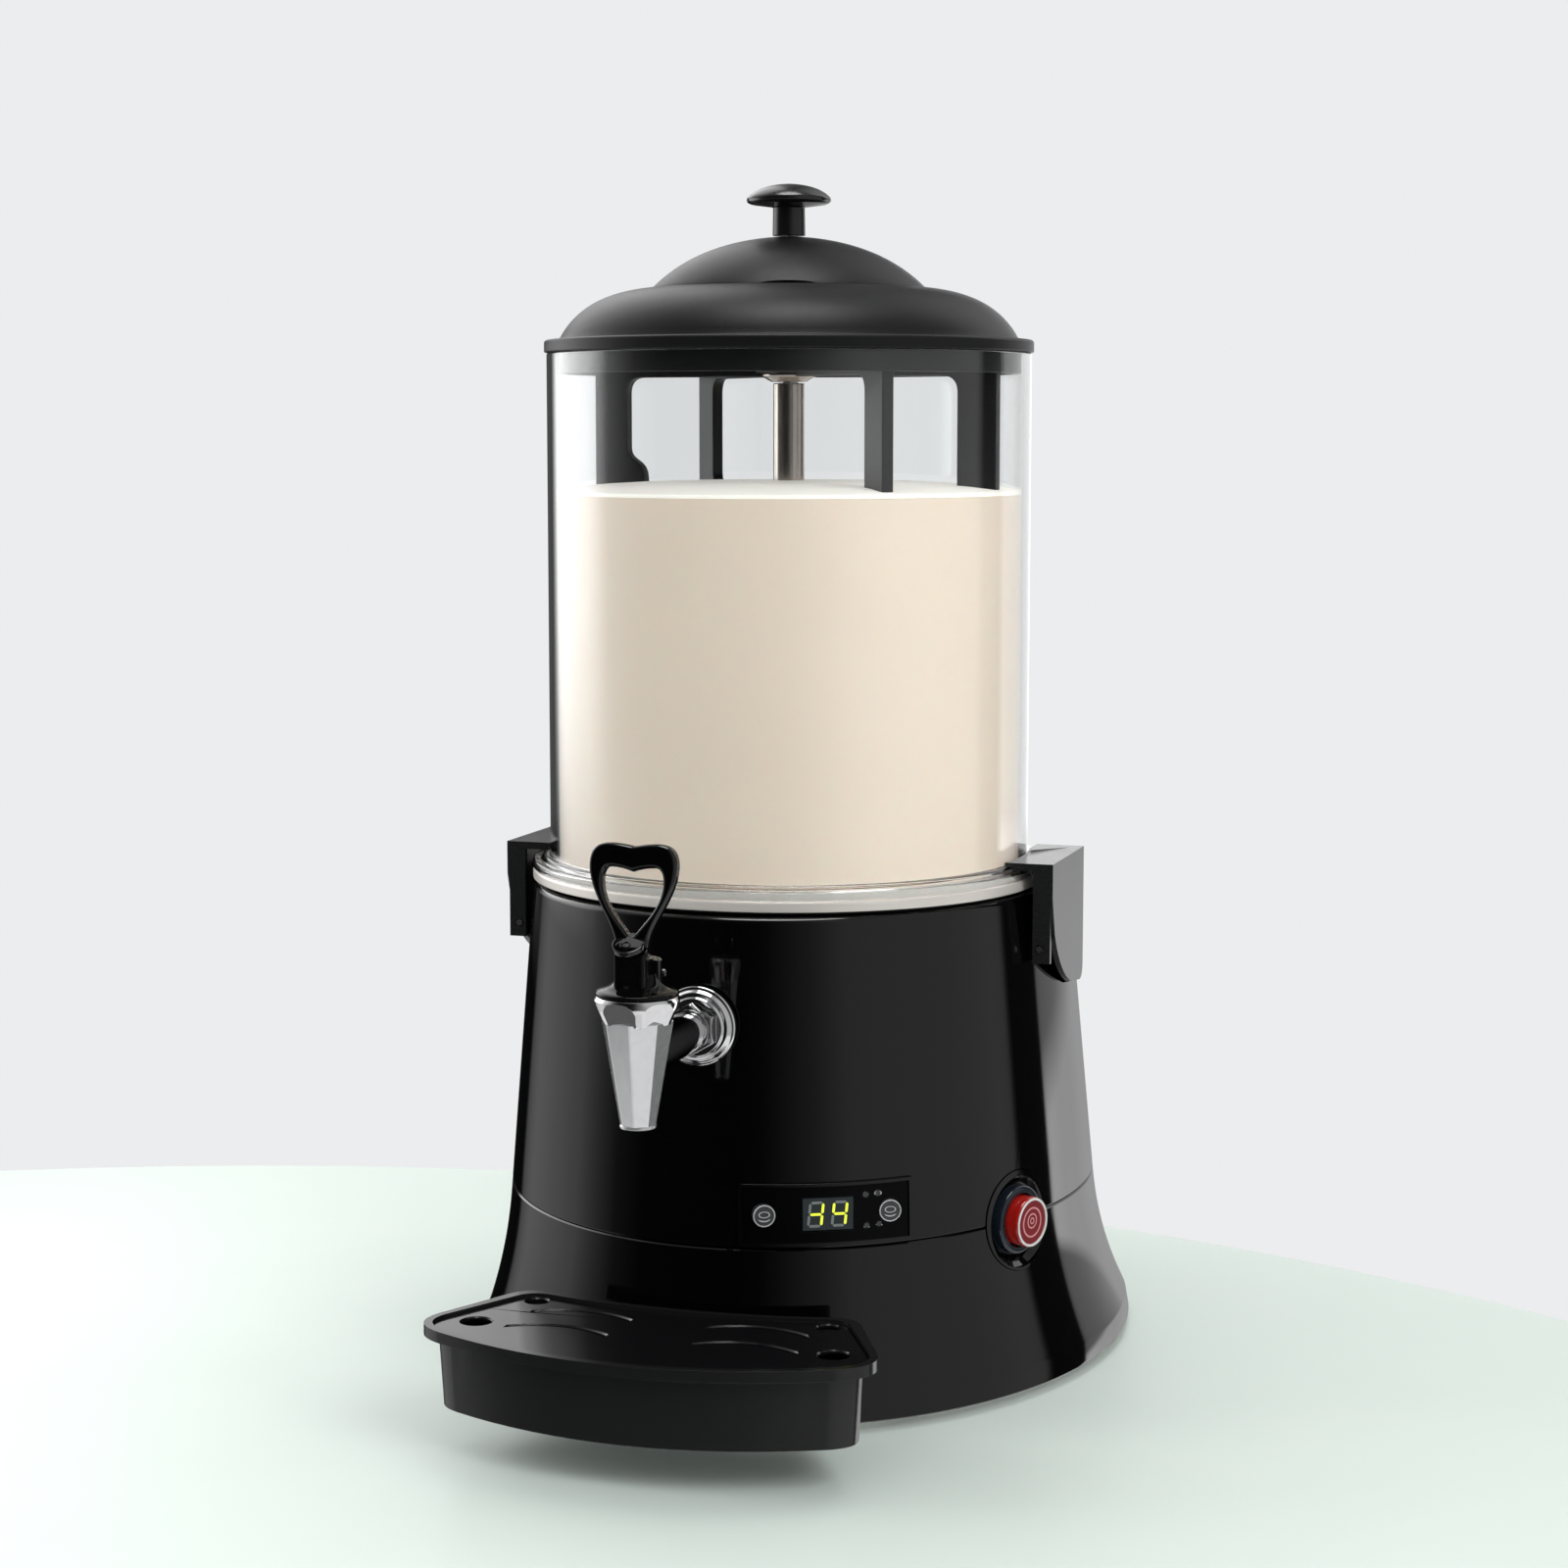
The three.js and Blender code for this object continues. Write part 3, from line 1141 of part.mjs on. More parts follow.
const panelFace = seatGap + panelThickness;
const [windowWide, windowHigh] = windowSize;
piece('display_window', faceOut(block([-windowWide / 2, -windowHigh / 2, panelFace - windowThickness],
  [windowWide / 2, windowHigh / 2, panelFace]), panelPlace), smokedWindow);
const keyFace = panelFace + keyProud - panelDip();
[['key_left', -1], ['key_right', 1]].forEach(([name, hand]) => {
  piece(name, faceOut(rod(keyRadius, keyFace - keyLength, keyFace), panelPlace, hand * keyOffset, 0), keyGrey);
});
const guideLow = panelFace - lampLength - panelDip();
const lampPegs = lampPlaces.map(([across, up]) => faceOut(
  rod(lampRadius, guideLow, panelFace - across ** 2 / (seamReach[0] + seamReach[1]), tinySides), panelPlace, across, up));
const guideAcross = lampPlaces.map(([across]) => across);
const guideUp = lampPlaces.map(([, up]) => up);
const guideBar = faceOut(block(
  [Math.min(...guideAcross) - lampRadius, Math.min(...guideUp) - lampRadius, guideLow - guideThickness],
  [Math.max(...guideAcross) + lampRadius, Math.max(...guideUp) + lampRadius, guideLow + weld]), panelPlace);
const keyRoom = faceOut(rod(keyRadius + runGap, -panelHeight, panelHeight), panelPlace, keyOffset, 0);
piece('lamp_guide', join(cut(guideBar, keyRoom), ...lampPegs), paleLens);

// Control board behind the panel, with the display module on it
const boardFace = -boardDepth;
const boardBody = block([-boardSize[0] / 2, -boardSize[1] / 2, boardFace - boardThickness],
  [boardSize[0] / 2, boardSize[1] / 2, boardFace]);
const moduleBody = block([-windowWide / 2, -windowHigh / 2, boardFace - overrun],
  [windowWide / 2, windowHigh / 2, panelFace - windowThickness - seatGap]);
const keySwitches = [-1, 1].map((hand) => rodUp(keyRadius - overrun, boardFace - overrun,
  keyFace - keyLength - keyTravel - seatGap, hand * keyOffset));
const lampFeet = lampPlaces.map(([across, up]) => {
  const foot = rod(lampRadius, boardFace - overrun, guideLow - guideThickness - seatGap, tinySides);
  foot.translate(across, up, 0);
  return foot;
});

function rodUp(radius, low, high, across) {
  const geometry = rod(radius, low, high, tinySides);
  geometry.translate(across, 0, 0);
  return geometry;
}

piece('control_board', faceOut(join(boardBody, moduleBody, ...keySwitches, ...lampFeet), panelPlace), greenBoard);

// Power switch: a cup let into the casing over the seam, a bezel, a red cap and the switch behind
const cupLow = -cupDepth - cupWall;
const cupRing = faceOut(washer(capRadius + runGap, cupRadius, cupLow - cupWall, capProud, midSides), switchPlace);
const casingBand = ovalSolid([...flareHeights.map((height) => [height, 0]), [seamHeight + cupRadius * 2, 0]]);
const cupHollow = faceOut(turned([[0, -cupDepth], [cupFloorRadius, -cupDepth], [cupRadius - cupRim, 0],
  [cupRadius - cupRim, capProud * 2], [0, capProud * 2]], midSides), switchPlace);
piece('switch_cup', cut(common(cupRing, casingBand), cupHollow), blackSatin);
const bezelLow = -cupDepth + seatGap;
piece('switch_bezel', faceOut(turned([[capRadius + runGap, bezelLow], [bezelRadius, bezelLow],
  [bezelRadius, bezelProud - overrun], [bezelRadius - overrun, bezelProud], [capRadius + runGap, bezelProud]],
midSides), switchPlace), blackGloss);
piece('power_button', faceOut(turned([[0, -capSink], [capRadius, -capSink], [capRadius, capProud - capRound],
  [capRadius - capRound, capProud], [0, capProud]], midSides), switchPlace), redLens);
const switchBack = cupLow - cupWall - seatGap;
piece('switch_body', faceOut(cut(rod(switchBodyRadius, switchBack - switchBodyDepth, switchBack),
  rod(capRadius + runGap, -capSink - bezelSink - seatGap, switchBack + overrun)), switchPlace), blackSatin);

// Mains inlet: a socket with three blades
const inletBack = casingBack(inletHeight).back + inletProud;
const inletBox = block([-inletSize[0] / 2, inletBack - inletDepth, inletHeight - inletSize[1] / 2],
  [inletSize[0] / 2, inletBack, inletHeight + inletSize[1] / 2]);
const inletRoom = block([-inletSize[0] / 2 + inletWall, inletBack - inletDepth + inletWall,
  inletHeight - inletSize[1] / 2 + inletWall],
[inletSize[0] / 2 - inletWall, inletBack + overrun, inletHeight + inletSize[1] / 2 - inletWall]);
const blades = [[-1, -1], [0, 1], [1, -1]].map(([across, up]) => {
  const [high, thick, long] = bladeSize;
  const x = across * bladePitch;
  const z = inletHeight + up * thick;
  return block([x - thick / 2, inletBack - inletDepth + inletWall / 2, z - high / 2],
    [x + thick / 2, inletBack - inletDepth + inletWall + long, z + high / 2]);
});
piece('mains_inlet', join(cut(inletBox, inletRoom), ...blades), blackSatin);

// The middle part of a bowed edge between two corners, which leaves room to round the corners
function bowedEdge([x0, y0], bowTo, [x1, y1], rounds) {
  const pull = [(x0 + x1) / 2, bowTo * 2 - (y0 + y1) / 2];
  const shares = rounds.map((round) => round / Math.hypot(x1 - x0, y1 - y0));
  const [near, far] = [shares[0], 1 - shares[1]];
  const blend = (u, v) => [0, 1].map((i) => (1 - u) * (1 - v) * [x0, y0][i]
    + (u * (1 - v) + v * (1 - u)) * pull[i] + u * v * [x1, y1][i]);
  return { start: blend(near, near), pull: blend(near, far), end: blend(far, far) };
}

// Drip tray: rim outline with a bowed front, hollow back and round corners
function trayOutline(inset) {
  const half = trayCornerHalf - inset;
  const front = -trayBack - trayCornerDepth + inset / 2;
  const backHalf = trayBackHalf - inset;
  const back = -trayBack + trayBackHollow - inset;
  const rounds = [trayFrontRound, trayFrontRound, trayBackRound, trayBackRound].map((round) => round - inset / 2);
  const corners = [[half, front], [-half, front], [-backHalf, back], [backHalf, back]];
  const next = (i) => (i + 1) % corners.length;
  const bows = [-trayFront + inset, (front + back) / 2, -trayBack - inset, (front + back) / 2];
  const edges = corners.map((corner, i) => bowedEdge(corner, bows[i], corners[next(i)], [rounds[i], rounds[next(i)]]));
  const shape = new THREE.Shape();
  shape.moveTo(...edges[0].start);
  edges.forEach(({ pull, end }, i) => {
    shape.quadraticCurveTo(...pull, ...end);
    shape.quadraticCurveTo(...corners[next(i)], ...edges[next(i)].start);
  });
  return shape;
}

function traySlab(inset, low, high, draftShare = 1) {
  const geometry = extruded(trayOutline(inset), high - low);
  geometry.translate(0, 0, low);
  const at = geometry.attributes.position;
  const middle = -(trayFront + trayBack) / 2;
  for (let i = 0; i < at.count; i += 1) {
    if (at.getZ(i) < (low + high) / 2) {
      at.setXY(i, at.getX(i) * draftShare, middle + (at.getY(i) - middle) * draftShare);
    }
  }
  return geometry;
}

// A thin rim, a neck round the plate, and a body whose wall carries the plate
const rimLow = trayRimTop - trayRimHeight;
const plateTopZ = trayRimTop - plateSink;
const plateLow = plateTopZ - plateThickness;
const ledgeTop = plateLow - seatGap;
const neckLow = ledgeTop - ledgeThickness;
const trayBlank = join(traySlab(0, rimLow, trayRimTop), traySlab(trayNeckInset, neckLow, rimLow + overrun),
  traySlab(trayBodyInset, trayBottom, neckLow + overrun, trayDraftShare));
const trayShell = cut(trayBlank,
  traySlab(trayBodyInset + trayWall, trayBottom + trayWall, ledgeTop + overrun, trayDraftShare),
  traySlab(trayRimWidth, ledgeTop, trayRimTop + overrun));
const trayTongues = [-1, 1].map((hand) => tongue(hand, 0));
piece('drip_tray', join(trayShell, ...trayTongues), blackGloss);

// Drip plate with four round holes and four arched slots
function archedSlot(hand, [depth, ...ends]) {
  const row = -trayBack - depth;
  const [near, far] = ends.map((end) => end * hand);
  const middle = (near + far) / 2;
  const peak = row + slotRise * 2;
  const shape = new THREE.Shape();
  shape.moveTo(near, row);
  shape.quadraticCurveTo(middle, peak, far, row);
  shape.lineTo(far, row - slotWidth);
  shape.quadraticCurveTo(middle, peak - slotWidth, near, row - slotWidth);
  shape.closePath();
  const geometry = extruded(shape, plateThickness + overrun * 2);
  geometry.translate(0, 0, plateLow - overrun);
  return geometry;
}

const plateCuts = [-1, 1].flatMap((hand) => [
  ...drainHoles.map(([x, depth, radius]) => placed(
    rod(radius, plateLow - overrun, plateTopZ + overrun, smallSides), [hand * x, -trayBack - depth])),
  ...slotRows.map((row) => archedSlot(hand, row)),
]);
piece('drip_plate', cut(traySlab(trayRimWidth + seatGap, plateLow, plateTopZ), ...plateCuts), blackGloss);

// The origin is on the table, under the middle of the footprint
const backReach = footReach[2] + lipProud;
machine.position.set(0, (trayFront - backReach) / 2, footProud);

const group = new THREE.Group();
group.add(machine);

export default group;
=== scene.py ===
import math

import bmesh
import bpy
from mathutils import Matrix, Vector


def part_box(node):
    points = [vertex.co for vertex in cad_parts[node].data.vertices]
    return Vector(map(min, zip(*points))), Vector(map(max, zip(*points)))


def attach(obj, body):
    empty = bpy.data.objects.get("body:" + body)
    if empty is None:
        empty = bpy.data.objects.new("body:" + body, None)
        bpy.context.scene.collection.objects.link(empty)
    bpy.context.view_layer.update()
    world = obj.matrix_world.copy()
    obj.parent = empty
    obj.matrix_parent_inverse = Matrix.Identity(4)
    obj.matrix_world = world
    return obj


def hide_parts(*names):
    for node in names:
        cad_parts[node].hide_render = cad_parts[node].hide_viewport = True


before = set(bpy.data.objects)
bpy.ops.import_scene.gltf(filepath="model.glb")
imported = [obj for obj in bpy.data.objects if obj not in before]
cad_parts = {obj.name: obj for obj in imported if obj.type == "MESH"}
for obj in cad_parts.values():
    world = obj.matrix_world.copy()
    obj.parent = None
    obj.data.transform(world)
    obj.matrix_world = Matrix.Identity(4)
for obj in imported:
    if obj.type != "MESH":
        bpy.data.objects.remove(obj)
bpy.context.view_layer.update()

# Lower casing: the flared foot of the machine, injection-moulded in glossy black plastic with a
# plain lip round its foot. The upper casing drops into it at the seam, two slots in front take
# the drip tray's tongues, and a square hole at the back takes the mains inlet.
lid_low, lid_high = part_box("lid")
machine_axis = (Matrix.Translation((0, (lid_low.y + lid_high.y) / 2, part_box("lower_casing")[0].z))
                @ Matrix.Scale(0.001, 4))
seam = 68
lip_height = 9.5
casing_top = 199
top_reach = Vector((113.8, 113.8, 155))
seam_reach = Vector((125.4, 123, 171))
foot_reach = Vector((138.4, 135.4, 199.1))


def casing_oval(height, grow=0):
    """Half width, half depth, middle and height of the casing's oval plan"""
    if height >= seam:
        reach = seam_reach.lerp(top_reach, (height - seam) / (casing_top - seam))
    else:
        drop = min((seam - height) / (seam - lip_height), 1)
        reach = seam_reach.lerp(foot_reach, 0.34 * drop + 0.66 * drop ** 2.1)
    side, front, back = reach
    return side + grow, (front + back) / 2 + grow, (back - front) / 2, height


def at(x, y, z):
    """A move, along the three axes"""
    return Matrix.Translation((x, y, z))


def tilt(degrees, axis):
    """A turn about an axis"""
    return Matrix.Rotation(math.radians(degrees), 4, axis)


unit_ring = (1, 1, 0, 0)


def move_ring(shape, verts, was, now):
    """Moves the points of one oval on to another"""
    move = (at(0, now[2], now[3]) @ Matrix.Diagonal((now[0] / was[0], now[1] / was[1], 1, 1))
            @ at(0, -was[2], -was[3]))
    bmesh.ops.transform(shape, matrix=move, verts=verts)


def swept_wall(ovals, steps=160):
    """A closed wall through a chain of ovals, its last one joined to its first"""
    shape = bmesh.new()
    ring = bmesh.ops.create_circle(shape, radius=1, segments=steps)["verts"]
    move_ring(shape, ring, unit_ring, ovals[0])
    start = edges = shape.edges[:]
    for was, now in zip(ovals, ovals[1:]):
        drawn_out = bmesh.ops.extrude_edge_only(shape, edges=edges)["geom"]
        verts = [part for part in drawn_out if isinstance(part, bmesh.types.BMVert)]
        edges = [part for part in drawn_out if isinstance(part, bmesh.types.BMEdge) and part.is_boundary]
        move_ring(shape, verts, was, now)
    bmesh.ops.bridge_loops(shape, edges=start + edges)
    bmesh.ops.recalc_face_normals(shape, faces=shape.faces)
    return shape


def casing_slab(low, high, grow):
    """A solid with the casing's oval plan between two heights"""
    shape = bmesh.new()
    heights = [low + (high - low) * i / 12 for i in range(13)]
    ovals = [casing_oval(height, grow) for height in heights]
    ring = bmesh.ops.create_circle(shape, cap_ends=True, radius=1, segments=160)["verts"]
    face = shape.faces[:]
    move_ring(shape, ring, unit_ring, ovals[0])
    for was, now in zip(ovals, ovals[1:]):
        grown = bmesh.ops.extrude_face_region(shape, geom=face)["geom"]
        bmesh.ops.delete(shape, geom=face if was is not ovals[0] else [], context="FACES_ONLY")
        face = [part for part in grown if isinstance(part, bmesh.types.BMFace)]
        verts = [part for part in grown if isinstance(part, bmesh.types.BMVert)]
        move_ring(shape, verts, was, now)
    bmesh.ops.recalc_face_normals(shape, faces=shape.faces)
    return shape


def block(low, high, place=Matrix.Identity(4)):
    """A box from its low corner to its high corner"""
    low, high = Vector(low), Vector(high)
    shape = bmesh.new()
    bmesh.ops.create_cube(shape, size=1, matrix=place @ Matrix.Translation((low + high) / 2)
                          @ Matrix.Diagonal((*(high - low), 1)))
    return shape


def rod(radius, low, high, place=Matrix.Identity(4), sides=64):
    """A rod along the frame's Z"""
    shape = bmesh.new()
    bmesh.ops.create_cone(shape, cap_ends=True, segments=sides, radius1=radius, radius2=radius,
                          depth=high - low, matrix=place @ at(0, 0, (low + high) / 2))
    return shape


def drawn(name, shape):
    """A new object in the scene with a shape as its mesh"""
    piece = bpy.data.objects.new(name, bpy.data.meshes.new(name))
    shape.to_mesh(piece.data)
    bpy.context.scene.collection.objects.link(piece)
    return piece


def carve(shape, *tools, keep="DIFFERENCE"):
    """Cuts other shapes out of a shape, joins them to it, or keeps what it shares with them"""
    blank = drawn("blank", shape)
    used = [blank]
    for tool in tools:
        other = drawn("tool", tool)
        tool.free()
        change = blank.modifiers.new("carve", "BOOLEAN")
        change.operation = keep
        change.solver = "EXACT"
        change.object = other
        used.append(other)
    bpy.context.view_layer.update()
    done = bpy.data.meshes.new_from_object(blank.evaluated_get(bpy.context.evaluated_depsgraph_get()))
    shape.clear()
    shape.from_mesh(done)
    bpy.data.meshes.remove(done)
    for item in used:
        mesh = item.data
        bpy.data.objects.remove(item)
        bpy.data.meshes.remove(mesh)
    return shape


def soften(shape, width, segments=2, above=40, clamped=True):
    """Rounds every edge that is sharper than an angle"""
    bmesh.ops.remove_doubles(shape, verts=shape.verts, dist=0.002)
    sharp = [edge for edge in shape.edges
             if edge.is_manifold and edge.calc_face_angle() > math.radians(above)]
    bmesh.ops.bevel(shape, geom=sharp, offset=width, affect="EDGES", segments=segments, profile=0.5,
                    material=-1, clamp_overlap=clamped)
    return shape


def add_piece(name, shape, body, slot, material, *nodes, sharp=38):
    """Puts a shape that was drawn in millimetres on the machine, in place of its CAD nodes"""
    bmesh.ops.transform(shape, matrix=machine_axis, verts=shape.verts)
    piece = drawn(name, shape)
    shape.free()
    piece.data.shade_smooth()
    piece.data.set_sharp_from_angle(angle=math.radians(sharp))
    piece.data.materials.append(material)
    piece.modifiers.new("flat faces", "WEIGHTED_NORMAL").keep_sharp = True
    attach(piece, body)
    if nodes:
        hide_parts(*nodes)
    return piece


def new_skin(name, **values):
    """An empty node group that turns named numbers into a roughness, a tone and a relief"""
    group = bpy.data.node_groups.new(name, "ShaderNodeTree")
    for label, value in values.items():
        group.interface.new_socket(label.replace("_", " "), in_out="INPUT",
                                   socket_type="NodeSocketFloat").default_value = value
    for label, kind in (("Roughness", "Float"), ("Tone", "Float"), ("Normal", "Vector")):
        group.interface.new_socket(label, in_out="OUTPUT", socket_type="NodeSocket" + kind)
    return group, group.nodes.new("NodeGroupInput"), group.nodes.new("NodeGroupOutput")


def chained(tree, kind, settings=None, **links):
    """A node with its settings, fed by the sockets given under its input names"""
    node = tree.nodes.new(kind)
    for label, value in (settings or {}).items():
        node.inputs[label].default_value = value
    for label, socket in links.items():
        tree.links.new(socket, node.inputs[label.replace("_", " ")])
    return node


def maths(tree, operation, *values, clamp=False):
    """The result of a sum on sockets and numbers"""
    node = tree.nodes.new("ShaderNodeMath")
    node.operation = operation
    node.use_clamp = clamp
    for entry, value in zip(node.inputs, values):
        if isinstance(value, float):
            entry.default_value = value
        else:
            tree.links.new(value, entry)
    return node.outputs[0]


def between(tree, share, low, high):
    """A colour between two colours or sockets"""
    node = tree.nodes.new("ShaderNodeMix")
    node.data_type = "RGBA"
    tree.links.new(share, node.inputs[0])
    for entry, colour in ((node.inputs[6], low), (node.inputs[7], high)):
        if isinstance(colour, tuple):
            entry.default_value = colour
        else:
            tree.links.new(colour, entry)
    return node.outputs[2]


def mixed(tree, share, first, second):
    """Two shaders mixed by a share"""
    node = tree.nodes.new("ShaderNodeMixShader")
    for entry, socket in zip(node.inputs, (share, first, second)):
        tree.links.new(socket, entry)
    return node.outputs[0]


def finish_skin(tree, given, results, cloudy, fine, height, strength):
    """Leads a skin's noises to its roughness, tone and relief"""
    spread = maths(tree, "MULTIPLY_ADD", maths(tree, "SUBTRACT", cloudy, 0.5), given.outputs["Spread"],
                   given.outputs["Roughness"])
    relief = chained(tree, "ShaderNodeBump", {"Distance": height}, Height=fine,
                     Strength=given.outputs[strength])
    for label, socket in (("Roughness", spread), ("Tone", fine), ("Normal", relief.outputs[0])):
        tree.links.new(socket, results.inputs[label])


# The moulded surface that every plastic here has: cloudy roughness, a fine grain, and a tone
moulded_skin, given, results = new_skin("moulded skin", Roughness=0.1, Spread=0.02, Grain_size=900.0,
                                        Grain_depth=0.1)
where = chained(moulded_skin, "ShaderNodeTexCoord").outputs["Object"]
clouds = chained(moulded_skin, "ShaderNodeTexNoise", {"Scale": 38.0, "Detail": 4.0}, Vector=where)
grain = chained(moulded_skin, "ShaderNodeTexNoise", {"Detail": 3.0}, Vector=where,
                Scale=given.outputs["Grain size"])
finish_skin(moulded_skin, given, results, clouds.outputs["Fac"], grain.outputs["Fac"], 0.0002, "Grain depth")


def skinned(name, skin, tones, settings, sockets):
    """A material whose roughness, relief and tone come from a skin"""
    material = bpy.data.materials.new(name)
    material.use_nodes = True
    tree = material.node_tree
    surface = tree.nodes["Principled BSDF"]
    group = tree.nodes.new("ShaderNodeGroup")
    group.node_tree = skin
    for label, value in settings.items():
        group.inputs[label].default_value = value
    if tones:
        tint = between(tree, group.outputs["Tone"], *[(*tone, 1) for tone in tones])
        tree.links.new(tint, surface.inputs["Base Color"])
    for label in ("Roughness", "Normal"):
        tree.links.new(group.outputs[label], surface.inputs[label])
    for label, value in sockets.items():
        surface.inputs[label.replace("_", " ")].default_value = value
    return material


def moulded(name, dark, light, roughness, spread=0.02, grain_size=900.0, grain_depth=0.1, **sockets):
    """A plastic with the moulded surface, its colour between a dark and a light tone"""
    settings = {"Roughness": roughness, "Spread": spread, "Grain size": grain_size,
                "Grain depth": grain_depth}
    return skinned(name, moulded_skin, (dark, light), settings, sockets)


def on_face(angle, height):
    """A place on the casing's face, with X across it, Y up and Z outward"""
    side, half, middle, height = casing_oval(height)
    turn = math.radians(angle)
    outward = math.atan2(math.sin(turn) / side, math.cos(turn) / half)
    return (at(side * math.sin(turn), middle - half * math.cos(turn), height)
            @ Matrix.Rotation(outward, 4, "Z") @ tilt(90, "X"))


gloss_black = moulded("gloss black plastic", (0.0004, 0.0004, 0.0005), (0.0012, 0.0012, 0.0013), 0.05, 0.02,
                      700.0,
                      0.012)
casing_wall = 3
switch_place = on_face(63.5, 67.4)
foot_rings = [casing_oval(0, 1.2), casing_oval(0.6, 1.8), casing_oval(1.6, 1.8), casing_oval(8.2, 0.6),
              casing_oval(lip_height, 0)]
flare_rings = [casing_oval(lip_height + (67.2 - lip_height) * i / 28) for i in range(1, 29)]
inner_rings = [casing_oval(67.6 - 67.6 * i / 16, -casing_wall) for i in range(17)]
lower_casing = swept_wall(foot_rings + flare_rings
                          + [casing_oval(67.75, -0.55), casing_oval(67.75, -2.8)] + inner_rings)
tongue_reach = 42
tray_slots = [block((hand * tongue_reach - 8.3, -143, 27.7), (hand * tongue_reach + 8.3, -100, 31.3))
              for hand in (-1, 1)]
carve(lower_casing, rod(20.8, -12, 9, switch_place), block((-14.3, 170, 25.7), (14.3, 215, 46.3)),
      *tray_slots)
add_piece("foot_casing", lower_casing, "machine", "gloss_black", gloss_black, "lower_casing", sharp=30)

# Upper casing: a thin glossy shell with a narrow deck round the tank, moulded in one with the
# hinge lugs of the side latches. It sits in the lower casing on a lap, and its front has the
# panel's opening, the outlet hole and half of the round switch hole.


def flat_piece(loops, thickness, steps=10, place=Matrix.Identity(4), rounding=0):
    """A sheet drawn in X and Y; each bend is its end point, after one or two points that pull it"""
    curve = bpy.data.curves.new("outline", "CURVE")
    curve.dimensions = "2D"
    curve.fill_mode = "BOTH"
    curve.resolution_u = steps
    curve.extrude = thickness / 2 - rounding
    curve.bevel_depth = rounding
    curve.bevel_resolution = 4
    curve.offset = -rounding
    for first, *bends in loops:
        spline = curve.splines.new("BEZIER")
        spline.bezier_points.add(len(bends) - 1)
        spline.use_cyclic_u = True
        here = Vector(first)
        for i, bend in enumerate(bends):
            *pulls, end = [Vector(point) for point in bend]
            near, far = spline.bezier_points[i], spline.bezier_points[(i + 1) % len(bends)]
            near.co = (*here, 0)
            if not pulls:
                near.handle_right_type = far.handle_left_type = "VECTOR"
            else:
                if len(pulls) == 1:
                    pulls = [here.lerp(pulls[0], 2 / 3), end.lerp(pulls[0], 2 / 3)]
                near.handle_right_type = far.handle_left_type = "FREE"
                near.handle_right = (*pulls[0], 0)
                far.handle_left = (*pulls[1], 0)
            here = end
    sheet = bpy.data.objects.new("outline", curve)
    bpy.context.scene.collection.objects.link(sheet)
    bpy.context.view_layer.update()
    mesh = bpy.data.meshes.new_from_object(sheet.evaluated_get(bpy.context.evaluated_depsgraph_get()))
    shape = bmesh.new()
    shape.from_mesh(mesh)
    bpy.data.objects.remove(sheet)
    bpy.data.curves.remove(curve)
    bpy.data.meshes.remove(mesh)
    bmesh.ops.remove_doubles(shape, verts=shape.verts, dist=0.002)
    bmesh.ops.recalc_face_normals(shape, faces=shape.faces)
    bmesh.ops.transform(shape, matrix=place, verts=shape.verts)
    return shape


def latch_face(grow=0):
    """The outline of a side latch's face, with its front edge at the left"""
    return [(-23 - grow, 212.5), ((37 + grow, 212.5),), ((37 + grow, 162.7),),
            ((37 + grow, 155.6 - grow), (31, 155.6 - grow)), ((14.2, 157.7 - grow),),
            ((-8 - grow, 164.6 - grow), (-18.2 - grow, 182.4)), ((-23 - grow, 198.4),),
            ((-23 - grow, 212.5),)]


forward = tilt(90, "X")
upright = tilt(90, "Z") @ forward
outlet = at(0, 0, 156.4) @ forward
pin_reach, pin_height = 115.6, 177
wall_rings = [casing_oval(68.25, -0.6), casing_oval(68.4, -0.18), casing_oval(68.8, 0)]
wall_rings += [casing_oval(68.8 + (196.5 - 68.8) * i / 8) for i in range(1, 9)]
wall_rings += [casing_oval(casing_top - 2.5 * (1 - math.sin(turn)), -2.5 * (1 - math.cos(turn)))
               for turn in (math.radians(step) for step in (22.5, 45, 67.5, 90))]
deck_rings = [(102.2, 102.2, 0, casing_top), (101.9, 101.9, 0, 198.7), (101.9, 101.9, 0, 196)]
under_rings = [casing_oval(196, -casing_wall), casing_oval(74, -casing_wall), casing_oval(74, -5.2),
               casing_oval(62.2, -5.2), casing_oval(62.2, -3.3), casing_oval(68, -3.3),
               casing_oval(68.25, -2.7)]
upper_casing = swept_wall(wall_rings + deck_rings + under_rings)
latch_slots = []
for hand in (-1, 1):
    lug_low, lug_high = sorted((hand * 106.5, hand * 117.6))
    lug = carve(soften(block((lug_low, -19.6, 171), (lug_high, -4.5, 183)), 0.5),
                rod(1.65, -25, 5, at(hand * pin_reach, 0, pin_height) @ forward))
    carve(upper_casing, lug, keep="UNION")
    slot_low, slot_high = sorted((hand * 106.5, hand * 122))
    face_room = flat_piece([latch_face(0.9)], 15.5, 16, at(hand * 114.25, 0, 0) @ upright)
    latch_slots.append(carve(face_room, block((-130, -40, 140), (130, 60, 174)), keep="INTERSECT"))
    latch_slots.append(block((slot_low, -4.5, 170.2), (slot_high, -0.3, 183.8)))
panel_place = on_face(24, 82)
outlet_hole = rod(5.8, 90, 130, outlet)
carve(upper_casing, rod(20.8, -12, 9, switch_place), outlet_hole,
      block((-32.5, -9.8, -25), (32.5, 9.8, 25), panel_place),
      *latch_slots)
add_piece("main_casing", upper_casing, "machine", "gloss_black", gloss_black, "upper_casing", sharp=30)

# Water bath pan: a pressed steel pan whose bright rolled rim shows between the casing and the
# tank, with a black rubber gasket pressed under the rim. The product bowl hangs inside it.


